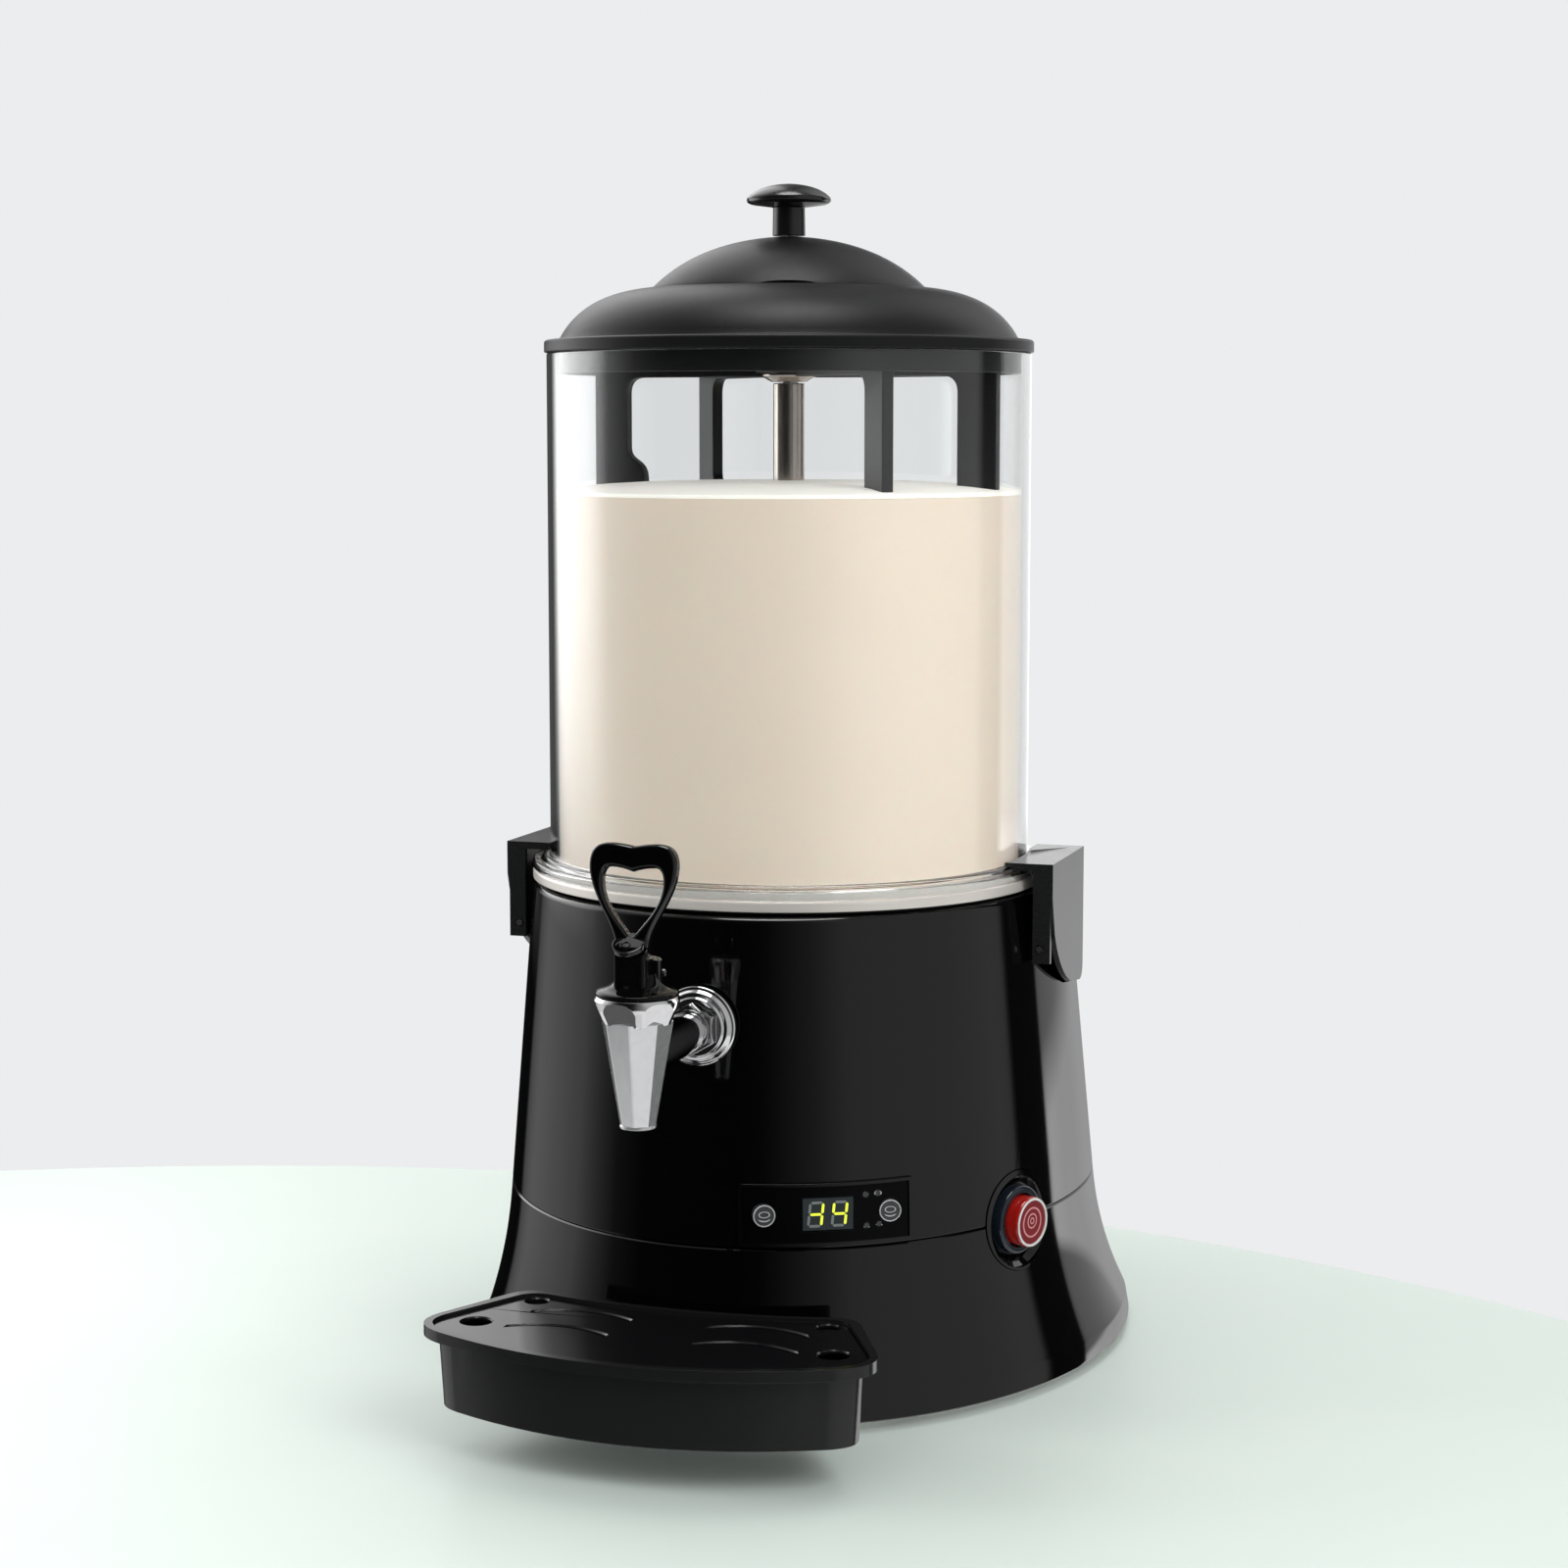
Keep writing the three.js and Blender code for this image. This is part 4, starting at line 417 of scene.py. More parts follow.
def turned(section, steps=128, closed=True, place=Matrix.Identity(4), angle=360):
    """A round piece spun from its half section: radius, height and, for a round corner, its size"""
    shape = bmesh.new()
    corners = [shape.verts.new((radius, 0, height)) for radius, height, *_ in section]
    for pair in zip(corners, corners[1:]):
        shape.edges.new(pair)
    if closed and section[0][0] > 0:
        shape.edges.new((corners[-1], corners[0]))
    for corner, (_, _, *size) in zip(corners, section):
        if size:
            bmesh.ops.bevel(shape, geom=[corner], offset=size[0], affect="VERTICES", segments=4, profile=0.5,
                            material=-1)
    bmesh.ops.spin(shape, geom=shape.verts[:] + shape.edges[:], cent=(0, 0, 0), axis=(0, 0, 1),
                   dvec=(0, 0, 0), angle=math.radians(angle), steps=steps, use_merge=True)
    bmesh.ops.remove_doubles(shape, verts=shape.verts, dist=0.001)
    bmesh.ops.recalc_face_normals(shape, faces=shape.faces)
    bmesh.ops.transform(shape, matrix=place, verts=shape.verts)
    return shape


# Brushed metal: lines drawn out round the axis or along a length, as rolling and polishing leave
brushed_skin, given, results = new_skin("brushed skin", Roughness=0.25, Spread=0.1, Line_depth=0.1,
                                        Along=40.0,
                                        Up=4000.0)
where = chained(brushed_skin, "ShaderNodeTexCoord").outputs["Object"]
apart = chained(brushed_skin, "ShaderNodeSeparateXYZ", Vector=where)
stretched = brushed_skin.nodes.new("ShaderNodeCombineXYZ")
for axis, rate in (("X", "Along"), ("Y", "Along"), ("Z", "Up")):
    stretch = maths(brushed_skin, "MULTIPLY", apart.outputs[axis], given.outputs[rate])
    brushed_skin.links.new(stretch, stretched.inputs[axis])
lines = chained(brushed_skin, "ShaderNodeTexNoise", {"Scale": 1.0, "Detail": 3.0},
                Vector=stretched.outputs[0]).outputs["Fac"]
finish_skin(brushed_skin, given, results, lines, lines, 0.0001, "Line depth")


def brushed(name, dark, light, roughness, spread=0.1, depth=0.1, along=40.0, up=4000.0, **sockets):
    """A metal with brushed lines, its colour between a dark and a light tone"""
    settings = {"Roughness": roughness, "Spread": spread, "Line depth": depth, "Along": along, "Up": up}
    return skinned(name, brushed_skin, (dark, light), settings, {"Metallic": 1, **sockets})


rolled_steel = brushed("rolled steel", (0.66, 0.61, 0.57), (0.86, 0.81, 0.77), 0.22, 0.12, 0.08,
                       Metallic=0.35)
soft_rubber = moulded("black rubber", (0.006, 0.006, 0.006), (0.016, 0.016, 0.016), 0.6, 0.1, 1500.0, 0.3)
pan = turned([(6.9, 124), (101.6, 124, 2.5), (101.6, 200.5), (109.5, 200.5, 0.6), (109.5, 204.9, 1.2),
              (104.4, 204.9, 0.4), (104.4, 202.6, 0.3), (100.1, 202.6, 0.4), (100.1, 125.5, 1.2),
              (6.9, 125.5)])
carve(pan, rod(5.8, 90, 110, outlet))
add_piece("bath_rim_and_pan", pan, "machine", "stainless_steel", rolled_steel, "bath_pan")
add_piece("rim_gasket", turned([(101.9, 199.35), (106.4, 199.35, 0.3), (106.4, 200.35, 0.3),
                                (101.9, 200.35)]),
          "machine", "black_rubber", soft_rubber, "bath_gasket")

# Product bowl, seal, heater, motor and the rest of the works: bought or pressed metal parts that
# hang under the pan, and the rubber and board parts between them.
plain_steel = brushed("drawn steel", (0.42, 0.41, 0.40), (0.68, 0.67, 0.66), 0.26, 0.14, 0.1)
zinc_plate = brushed("zinc plated steel", (0.33, 0.33, 0.32), (0.55, 0.55, 0.54), 0.38, 0.16, 0.12, 400.0,
                     900.0)
cast_alloy = moulded("cast alloy", (0.30, 0.30, 0.31), (0.46, 0.46, 0.47), 0.5, 0.15, 900.0, 0.5,
                     Metallic=1.0)
pale_rubber = moulded("pale silicone", (0.52, 0.50, 0.47), (0.66, 0.64, 0.60), 0.5, 0.08, 1200.0, 0.1,
                      Subsurface_Weight=0.2, Subsurface_Scale=0.002)
satin_black = moulded("satin black plastic", (0.010, 0.010, 0.0105), (0.022, 0.022, 0.023), 0.36, 0.08,
                      2600.0, 0.3)
board_green = moulded("circuit board", (0.010, 0.070, 0.028), (0.030, 0.150, 0.060), 0.4, 0.1, 700.0, 0.2)
milky_lens = moulded("smoky light guide", (0.03, 0.034, 0.036), (0.06, 0.065, 0.07), 0.3, 0.05, 900.0, 0.05)
works = {
    plain_steel: ["product_bowl", "pan_nut", "drive_shaft", "heating_element", "water_probe", "outlet_pipe",
                  "lever_pin", "bonnet_pin", "latch_pin_right", "latch_pin_left"],
    zinc_plate: ["bottom_plate", "motor_bracket", "gear_motor", "knob_screw", "motor_screw_1",
                 "motor_screw_2",
                 "bottom_screw_1", "bottom_screw_2", "bottom_screw_3", "bottom_screw_4"],
    cast_alloy: ["gearbox"],
    pale_rubber: ["tank_seal", "valve_stem"],
    soft_rubber: ["rubber_foot_1", "rubber_foot_2", "rubber_foot_3", "rubber_foot_4", "outlet_washer"],
    satin_black: ["overheat_cutout", "switch_body", "mains_inlet"],
    board_green: ["control_board"],
    milky_lens: ["lamp_guide"],
}
for material, names in works.items():
    for name in names:
        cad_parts[name].data.materials.clear()
        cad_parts[name].data.materials.append(material)

# Centre tube and stirrer bush: a polished steel tube that holds the drive shaft, and the flared
# bush on the shaft's end that turns the stirrer just above the tube.
polished_steel = brushed("polished steel tube", (0.46, 0.41, 0.37), (0.62, 0.57, 0.53), 0.14, 0.06, 0.03,
                         900.0, 60.0)
add_piece("bath_tube", turned([(4.6, 117.5), (6.6, 117.5, 0.4), (6.6, 148.7), (12, 148.7, 0.5),
                               (12, 151.7, 0.8),
                               (6.6, 151.7), (6.6, 409.3, 0.5), (4.6, 409.3, 0.4)], steps=64),
          "machine", "stainless_steel", polished_steel, "centre_tube")
add_piece("shaft_bush", turned([(0, 420.2), (4.3, 420.2), (4.3, 409.9), (7.4, 409.9, 0.3), (11.5, 412.1, 0.5),
                                (11.5, 413.5, 0.4), (8, 413.5), (8, 423, 0.6), (0, 423)], steps=64,
                                closed=False),
          "stirrer", "stainless_steel", polished_steel, "stirrer_bush")

# Tank: a clear moulded cylinder, open at the top, with a stepped flange round its foot that the
# side latches hold down on the pan's rim. The wall is thick, so its edges look grey.
clear_tank = skinned("clear plastic", moulded_skin, None,
                     {"Roughness": 0.012, "Spread": 0.02, "Grain size": 60.0, "Grain depth": 0.004},
                     {"Base Color": (0.97, 0.98, 0.98, 1), "Transmission Weight": 1, "IOR": 1.49})
tree = clear_tank.node_tree
let_light_in = mixed(tree, tree.nodes.new("ShaderNodeLightPath").outputs["Is Shadow Ray"],
                     tree.nodes["Principled BSDF"].outputs[0],
                     tree.nodes.new("ShaderNodeBsdfTransparent").outputs[0])
tree.links.new(let_light_in, tree.nodes["Material Output"].inputs["Surface"])
add_piece("clear_tank", turned([(104, 205.2), (109.7, 205.2, 0.6), (109.7, 208.6, 1.0), (105.8, 208.6, 0.4),
                                (104.9, 210.4, 0.8), (102, 210.4, 0.5), (102, 421.6, 0.5), (98.5, 421.6, 0.5),
                                (98.5, 207.4, 0.3), (104, 207.4, 0.3)], steps=192),
          "machine", "clear_plastic", clear_tank, "tank")

# Drink: the tank is filled to about three quarters, as such machines are shown in use. It has no
# CAD solid and only gives the clear tank its look. The froth on top glows faintly with painted
# light, which brightens its top where it lies in the shade of the lid.
drink = moulded("milk", (0.86, 0.74, 0.62), (0.89, 0.77, 0.65), 0.3, 0.05, 30.0, 0.0, Subsurface_Weight=0.25,
                Subsurface_Scale=0.004)
milk = turned([(0, 150), (89, 150, 3), (95.2, 156), (95.2, 204.4), (98.1, 208.4), (98.1, 362.9), (0, 362.9)],
              steps=160, closed=False)
add_piece("drink_in_tank", milk, "machine", "pale_silicone", drink)
# Painted light: the froth's faint warm emission glow stands in for light on its top, which lies in the lid's
# shade.
froth_painted_glow = moulded("milk froth with painted glow", (0.90, 0.88, 0.80), (0.94, 0.92, 0.85), 0.5, 0.1, 60.0, 0.02,
                Subsurface_Weight=0.3,
                Subsurface_Scale=0.004, Specular_IOR_Level=0.2, Emission_Color=(1, 0.98, 0.92, 1),
                Emission_Strength=0.3)
froth_ring = turned([(0, 363.1), (98.1, 363.1), (98.1, 364.6, 0.4), (94, 365.4, 3), (82, 366.8, 3),
                     (60, 368, 4),
                     (30, 368.5), (0, 368.6)], steps=160, closed=False)
add_piece("froth_on_drink", froth_ring, "machine", "pale_silicone", froth_painted_glow)

# Stirrer: two crossed frames moulded in one in satin black plastic, with wavy ribs that scrape
# along the tank, a hub that sits on the bush and a ring round the tube's foot.


def stirrer_frame(angle, drop):
    """One frame of the stirrer, upright through the axis, with one wavy rib"""
    reach, inside, bulge, low, high = 93.6, 77.1, 68.6, 167, 412
    wave = 420 - drop
    edge = [(-reach, 162), ((-reach, 158), (-reach + 4, 158)), ((reach - 4, 158),),
            ((reach, 158), (reach, 162)),
            ((reach, 416),), ((reach, 420), (reach - 4, 420)), ((-reach + 4, 420),),
            ((-reach, 420), (-reach, 416)), ((-reach, 162),)]
    window = [(-inside + 7, high), ((inside - 7, high),), ((inside, high), (inside, high - 7)),
              ((inside, low + 7),),
              ((inside, low), (inside - 7, low)), ((-inside + 7, low),), ((-inside, low), (-inside, low + 7)),
              ((-inside, wave - 26),), ((-bulge, wave - 26), (-bulge, wave - 17.5)), ((-bulge, wave - 13),),
              ((-bulge, wave - 4), (-inside, wave - 6), (-inside, wave)), ((-inside, high - 7),),
              ((-inside, high), (-inside + 7, high))]
    turn = tilt(angle - 90, "Z") @ tilt(90, "X")
    return flat_piece([edge, window], 5, 8, turn, 0.7)


frames = stirrer_frame(0.455 * 180, 38.2)
hub = turned([(0, 423.3), (8.3, 423.3), (8.3, 413.8), (14, 413.8, 0.5), (14, 423, 1.2), (0, 424.7)], steps=48,
             closed=False)
foot_ring = turned([(7.4, 158), (14, 158, 0.5), (14, 167, 0.5), (7.4, 167)], steps=48)
carve(frames, stirrer_frame(0.233 * 180, 49.2), foot_ring, keep="UNION")
carve(frames, rod(12.3, 410, 413.8), rod(8.3, 413, 421), rod(7.4, 157, 168))
carve(frames, hub, keep="UNION")
stirrer_black = moulded("stirrer plastic", (0.004, 0.004, 0.0042), (0.010, 0.010, 0.0105), 0.34, 0.06, 2600.0,
                        0.2,
                        Specular_IOR_Level=0.3)
add_piece("stirrer_frames", frames, "stirrer", "satin_black", stirrer_black, "stirrer")

# Lid: a double dome moulded in black plastic with a fine grain, with a flat rim that rests on
# the tank's edge and a skirt that centres it.
lid_black = moulded("grained black plastic", (0.005, 0.005, 0.0053), (0.011, 0.011, 0.0115), 0.33, 0.05,
                    3200.0, 0.4,
                    Specular_IOR_Level=0.17)


def bend(start, pull, end, steps=12):
    """Points along a bend between two corners"""
    start, pull, end = Vector(start), Vector(pull), Vector(end)
    return [tuple(start.lerp(pull, i / steps).lerp(pull.lerp(end, i / steps), i / steps))
            for i in range(steps + 1)]


low_dome = bend((96.4, 427.9), (86.4, 446.6), (58.9, 448.7), 20) + [(58.4, 448.2), (57.9, 448.1),
                                                                    (57.5, 448.6)]
high_dome = bend((57.2, 449.2), (37.1, 469.3), (0, 470.4), 20)
under_low = bend((56.9, 446.4), (84.5, 444.4), (94.2, 426.8), 10)
under_high = bend((0, 468.2), (36.4, 467.1), (56.7, 446.6), 10)
lid = turned(under_high + under_low + [(94.2, 422), (94.2, 413), (97.7, 413, 0.4), (97.7, 422.0),
                                       (103, 422, 0.5), (103, 427.2, 1.4), (97.2, 427.2, 0.4)] + low_dome
                                       + high_dome,
             steps=192, closed=False)
finger_notch = bmesh.new()
bmesh.ops.create_uvsphere(finger_notch, u_segments=48, v_segments=24, radius=1,
                          matrix=tilt(17, "Z") @ at(0, -58.2, 448.9)
                          @ Matrix.Diagonal((15.2, 2.6, 1.3, 1)))
carve(lid, rod(1.9, 460, 475, sides=24), finger_notch)
add_piece("lid_dome", lid, "lid", "satin_black", lid_black, "lid")

# Knob: a mushroom of glossy black plastic on a short stem, screwed on from under the lid.
knob_rim = bend((15.6, 483.6), (18.6, 484.2), (17.4, 486.5), 8) + bend((17.4, 486.5), (12.5, 491.7),
                                                                       (0, 492.2), 12)[1:]
knob = turned([(0, 470.7), (6.9, 470.7, 0.2), (6.7, 482.4, 0.6)] + knob_rim, steps=96, closed=False)
carve(knob, rod(1.9, 469, 478.7, sides=24))
knob_black = moulded("knob plastic", (0.004, 0.004, 0.0042), (0.008, 0.008, 0.0084), 0.2, 0.05, 2400.0, 0.1)
add_piece("lid_handle", knob, "lid", "gloss_black", knob_black, "lid_knob")

# Rosette and lock nut: turned brass with polished chrome, clamping the outlet pipe to the casing.
chrome = brushed("polished chrome", (0.66, 0.66, 0.67), (0.80, 0.80, 0.81), 0.06, 0.03, 0.015, 300.0, 300.0)
satin_chrome = brushed("satin chrome", (0.60, 0.60, 0.61), (0.72, 0.72, 0.73), 0.1, 0.03, 0.015, 300.0, 300.0,
                       Metallic=0.75)
face = at(0, -118.9, 156.4) @ forward
add_piece("outlet_rosette", turned([(5.8, 0), (16, 0, 0.3), (16, 2.2, 0.7), (14.6, 2.6, 0.3),
                                    (13.6, 4.2, 0.6),
                                    (12, 4.4, 0.3), (11.6, 5.5, 0.4), (5.8, 5.5)], steps=96, place=face),
          "machine", "chrome_tap", chrome, "tap_rosette")
nut = carve(soften(rod(10.6, 5.8, 11.8, face, sides=6), 0.5), rod(5.8, 4, 13, face))
add_piece("outlet_nut", nut, "machine", "chrome_tap", chrome, "tap_nut")

# Tap body: cast and chrome-plated, with a faceted crown, an eight-sided cone and a round spout.
tap_place = at(0, -188, 0)
eighth = tilt(7, "Z")
cone = turned([(0, 131.4), (6.9, 131.4), (13.9, 171.8), (0, 171.8)], steps=8, closed=False,
              place=tap_place @ eighth)
crown = turned([(0, 170.6), (13.4, 170.6, 0.3), (13.9, 171.8, 0.3), (16.6, 177.2, 2.2), (16.4, 179.4, 1),
                (15.4, 181, 0.5),
                (0, 181)], steps=96, closed=False, place=tap_place)
facets = bmesh.new()
bmesh.ops.create_cone(facets, cap_ends=True, segments=6, radius1=13.6, radius2=19.8, depth=12,
                      matrix=tap_place @ at(0, 0, 176) @ tilt(-38, "Z"))
carve(crown, facets, keep="INTERSECT")
spout_end = turned([(0, 130.5), (7, 130.5, 0.4), (7, 131.7, 0.4), (0, 131.7)], steps=64, closed=False,
                   place=tap_place)
tap = carve(soften(cone, 0.35, 1, 20), spout_end, keep="UNION")
carve(tap, rod(6.8, 150, 183, tap_place), rod(4.6, 128, 152, tap_place),
      rod(8.5, 130, 176, outlet))
add_piece("tap_cone", tap, "machine", "chrome_tap", satin_chrome, "tap_body", sharp=22)
carve(soften(crown, 0.35, 1, 20), rod(6.8, 150, 183, tap_place),
      rod(8.5, 130, 176, outlet))
add_piece("tap_crown", crown, "machine", "chrome_tap", chrome, sharp=22)
neck = turned([(4, 131), (8.2, 131, 0.3), (8.2, 178), (4, 178)], steps=64,
              place=outlet)
carve(neck, rod(6.8, 150, 183, tap_place), rod(5.8, 120, 176, outlet))
add_piece("tap_neck", neck, "machine", "chrome_tap", chrome)

# Bonnet: the glossy black fitting on the tap, with a flared skirt, the lever's block in front and
# a round housing behind it.
skirt = turned([(0, 170.8), (6.5, 170.8, 0.4), (6.5, 181.3), (15.9, 181.3, 0.4), (15.8, 182.3, 0.5)]
               + bend((14.6, 183), (8.6, 183.8), (7.6, 189.4), 8) + [(0, 189.4)], steps=96, closed=False,
               place=tap_place)
crossways = tilt(90, "Y")
lever_pivot = at(0, -193, 196.3)
foot_slant = at(0, -196.9, 200.9) @ tilt(28, "X")
front_block = soften(block((-6.1, -197.7, 184), (6.1, -185.8, 199.4)), 1.5, 4)
carve(front_block, block((-20, -20, -2.9), (20, 20, 20), foot_slant),
      block((-9, -192.9, 195), (9, -180, 202)))
arch = flat_piece([[(-4, 184.6), ((-4, 193.4),), ((-4, 194.8), (4, 194.8), (4, 193.4)), ((4, 184.6),),
                    ((-4, 184.6),)]],
                  1.2, 10, at(0, -197.7, 0) @ forward)
carve(front_block, arch)
rear_house = soften(carve(rod(8.6, 184.3, 194.2, tap_place @ at(0, 2.4, 0)),
                          block((-20, -210, 180), (20, -188, 210))), 0.7, 3)
tongue = carve(block((-3.4, -196.2, 190.6), (3.4, -189.4, 196.3)),
               rod(3.6, -3.4, 3.4, lever_pivot @ crossways),
               keep="UNION")
bonnet = carve(skirt, front_block, rear_house, tongue, keep="UNION")
carve(bonnet, rod(2.5, 166, 190.8, tap_place, sides=32), rod(1.7, -12, 12, lever_pivot @ crossways, sides=24),
      rod(1.55, -12, 12, at(0, -181.8, 188.6) @ crossways, sides=24))
bonnet_black = moulded("bonnet plastic", (0.001, 0.001, 0.0011), (0.003, 0.003, 0.0031), 0.1, 0.04, 900.0,
                       0.03,
                       Specular_IOR_Level=0.15)
add_piece("tap_cap", bonnet, "machine", "gloss_black", bonnet_black, "tap_bonnet")

# Lever: a heart-shaped loop of glossy black plastic with a raised line under its top edge. Its
# round foot forks over the bonnet's tongue, and a ring screw sits in the foot.
lean = lever_pivot @ tilt(-5, "X") @ forward
heart = [(-6.3, 3.4), ((6.3, 3.4),), ((6.3, 11.6), (17.3, 22.3), (17.3, 33.5)), ((17.3, 42), (9.6, 42)),
         ((5.2, 42), (0, 40.9)), ((-5.2, 42), (-9.6, 42)), ((-17.3, 42), (-17.3, 33.5)),
         ((-17.3, 22.3), (-6.3, 11.6), (-6.3, 3.4))]
loop = [(-1.6, 8.4), ((-5.6, 13.6), (-12, 19.4), (-12, 28)), ((-12, 33), (-8.6, 33)), ((-4.6, 33), (0, 31.4)),
        ((4.6, 33), (8.6, 33)), ((12, 33), (12, 28)), ((12, 19.4), (5.6, 13.6), (1.6, 8.4)),
        ((0, 6.6), (-1.6, 8.4))]
rib = [(-14.6, 34), ((-13.4, 38.6), (-8.6, 38.4)), ((-4, 38.2), (0, 36.4)), ((4, 38.2), (8.6, 38.4)),
       ((13.4, 38.6), (14.6, 34)), ((13.7, 34),), ((12.4, 37.3), (8.6, 37.2)), ((4, 37), (0, 35.2)),
       ((-4, 37), (-8.6, 37.2)), ((-12.4, 37.3), (-13.7, 34)), ((-14.6, 34),)]
lever = flat_piece([heart, loop], 6, 12, lean, 1.8)
foot = soften(rod(6.2, -0.9, 1.4, foot_slant), 0.5)
ring_screw = turned([(1.3, 1.2), (2, 1.2), (2, 1.8, 0.2), (1.3, 1.8, 0.2)], steps=32,
                    place=foot_slant @ at(-0.6, -1.4, 0))
line = flat_piece([rib], 1.2, 10, lean @ at(0, 0, 3))
carve(lever, foot, ring_screw, soften(line, 0.3), keep="UNION")
carve(lever, block((-3.7, -196.4, 186), (3.7, -188.8, 200.2)),
      rod(1.7, -12, 12, lever_pivot @ crossways, sides=24))
add_piece("heart_lever", lever, "lever", "gloss_black", gloss_black, "tap_lever")

# Side latches: hollow hooks of satin black plastic over the tank's flange. Each turns on a pin
# through the casing's lug, and its tail swings into a slot in the casing.
latch_black = moulded("latch plastic", (0.008, 0.008, 0.0085), (0.018, 0.018, 0.019), 0.2, 0.05, 2400.0, 0.12)


def latch(hand):
    """One latch, its face along the side of the machine"""
    plate = flat_piece([latch_face()], 2.3, 16, at(119.85, 0, 0) @ upright)
    lip = block((100.5, -23, 209.4), (121, 37, 212.5))
    step = turned([(0, 208), (105.7, 208), (105.7, 210.7), (102.8, 210.7), (102.8, 214), (0, 214)], steps=192,
                  closed=False)
    carve(lip, step)
    front_web = block((112.6, -23, 171), (120, -20.4, 211.5))
    rear_web = block((116.6, 34.4, 178), (120, 37, 211.5))
    ear = block((112.6, -3.7, 171.5), (120, -1.1, 182.5))
    shape = carve(plate, lip, front_web, rear_web, ear, keep="UNION")
    soften(shape, 0.7, 3, 50)
    carve(shape, rod(1.8, -10, 30, at(pin_reach, 0, pin_height) @ forward, sides=24))
    if hand < 0:
        bmesh.ops.scale(shape, vec=(-1, 1, 1), verts=shape.verts)
        bmesh.ops.recalc_face_normals(shape, faces=shape.faces)
    return shape


add_piece("side_latch_right", latch(1), "latch_right", "satin_black", latch_black, "latch_right")
add_piece("side_latch_left", latch(-1), "latch_left", "satin_black", latch_black, "latch_left")

# Control panel: a thin glossy bezel bent to the casing's front, with a raised edge, a smoked
# window with two digits, two round keys and four small lamp marks.
panel_black = moulded("panel plastic", (0.0006, 0.0006, 0.0007), (0.0016, 0.0016, 0.0017), 0.1, 0.04, 900.0,
                      0.03)
panel_matt = moulded("panel face", (0.0008, 0.0008, 0.0009), (0.002, 0.002, 0.0021), 0.16, 0.04, 900.0, 0.03,
                     Specular_IOR_Level=0.08)


def casing_band(low, high, inner, outer):
    """A thin oval band that follows the casing's face"""
    heights = [low + (high - low) * i / 6 for i in range(7)]
    return swept_wall([casing_oval(height, outer) for height in heights]
                      + [casing_oval(height, inner) for height in reversed(heights)], 320)


bezel = carve(casing_band(66, 98, 0.3, 2.2), block((-35, -12.3, -20), (35, 12.3, 20), panel_place),
              keep="INTERSECT")
soften(bezel, 0.55, 1, 50)
dish = carve(casing_band(64, 100, 1.3, 4), block((-33.8, -11.1, -20), (33.8, 11.1, 20), panel_place),
             keep="INTERSECT")
key_places = [panel_place @ at(hand * 25.4, 0, 0) for hand in (-1, 1)]
lamp_places = [(15.4, 7), (20.5, 7.2), (15.8, -5.4), (21, -5.2)]


def panel_holes(grow=0):
    """The holes for the keys and the lamps"""
    return ([rod(4.8 + grow, -20, 20, place, sides=48) for place in key_places]
            + [rod(1.4 + grow, -20, 20, panel_place @ at(across, up, 0), sides=24)
               for across, up in lamp_places])


carve(bezel, dish, block((-10.5, -6.8, -20), (10.5, 6.8, 20), panel_place), *panel_holes())
add_piece("panel_frame", bezel, "machine", "gloss_black", panel_black, "panel_bezel", sharp=30)

face_sheet = carve(casing_band(66, 98, 1.31, 1.4), block((-33.7, -11, -20), (33.7, 11, 20), panel_place),
                   keep="INTERSECT")
carve(face_sheet, block((-10.6, -6.9, -20), (10.6, 6.9, 20), panel_place),
      *panel_holes(0.1))
add_piece("panel_face", face_sheet, "machine", "gloss_black", panel_matt, sharp=30)

smoked = moulded("smoked window", (0.018, 0.024, 0.027), (0.026, 0.033, 0.037), 0.08, 0.03, 900.0, 0.01)
add_piece("window_glass", soften(block((-10.2, -6.5, -1.2), (10.2, 6.5, 1.3), panel_place), 0.2), "machine",
          "smoked_window", smoked, "display_window")


def lit(name, colour, strength):
    """A plastic that glows, a little uneven from the lamp behind it"""
    material = moulded(name, tuple(part * 0.8 for part in colour), colour, 0.4, 0.05, 400.0, 0.0,
                       Emission_Strength=strength)
    tree = material.node_tree
    tint = next(node for node in tree.nodes if node.type == "MIX")
    tree.links.new(tint.outputs[2], tree.nodes["Principled BSDF"].inputs["Emission Color"])
    return material


yellow_green = lit("lit segment", (0.72, 0.80, 0.05), 0.75)
unlit_grey = moulded("unlit segment", (0.16, 0.18, 0.18), (0.24, 0.26, 0.26), 0.35, 0.05, 900.0, 0.02)
mark_white = moulded("printed white", (0.46, 0.46, 0.47), (0.62, 0.62, 0.63), 0.4, 0.05, 900.0, 0.02)


def segment(start, end, width):
    """One bar of a digit, pointed at its ends"""
    start, end = Vector(start), Vector(end)
    along = (end - start).normalized() * width / 2
    across = Vector((-along.y, along.x))
    corners = (start + along + across, end - along + across, end, end - along - across, start
               + along - across, start)
    return [tuple(start)] + [(tuple(corner),) for corner in corners]


def digit(middle, names):
    """The loops of a digit's named bars, slanted a little"""
    wide, high, gap = 2.6, 4.7, 0.25
    ends = {"a": ((-wide + gap, high), (wide - gap, high)), "b": ((wide, high - gap), (wide, gap)),
            "c": ((wide, -gap), (wide, -high + gap)), "d": ((wide - gap, -high), (-wide + gap, -high)),
            "e": ((-wide, -high + gap), (-wide, -gap)), "f": ((-wide, gap), (-wide, high - gap)),
            "g": ((-wide + gap, 0), (wide - gap, 0))}
    slant = lambda point: (middle + point[0] + point[1] * 0.1, point[1])
    return [segment(slant(ends[name][0]), slant(ends[name][1]), 1.05) for name in names]


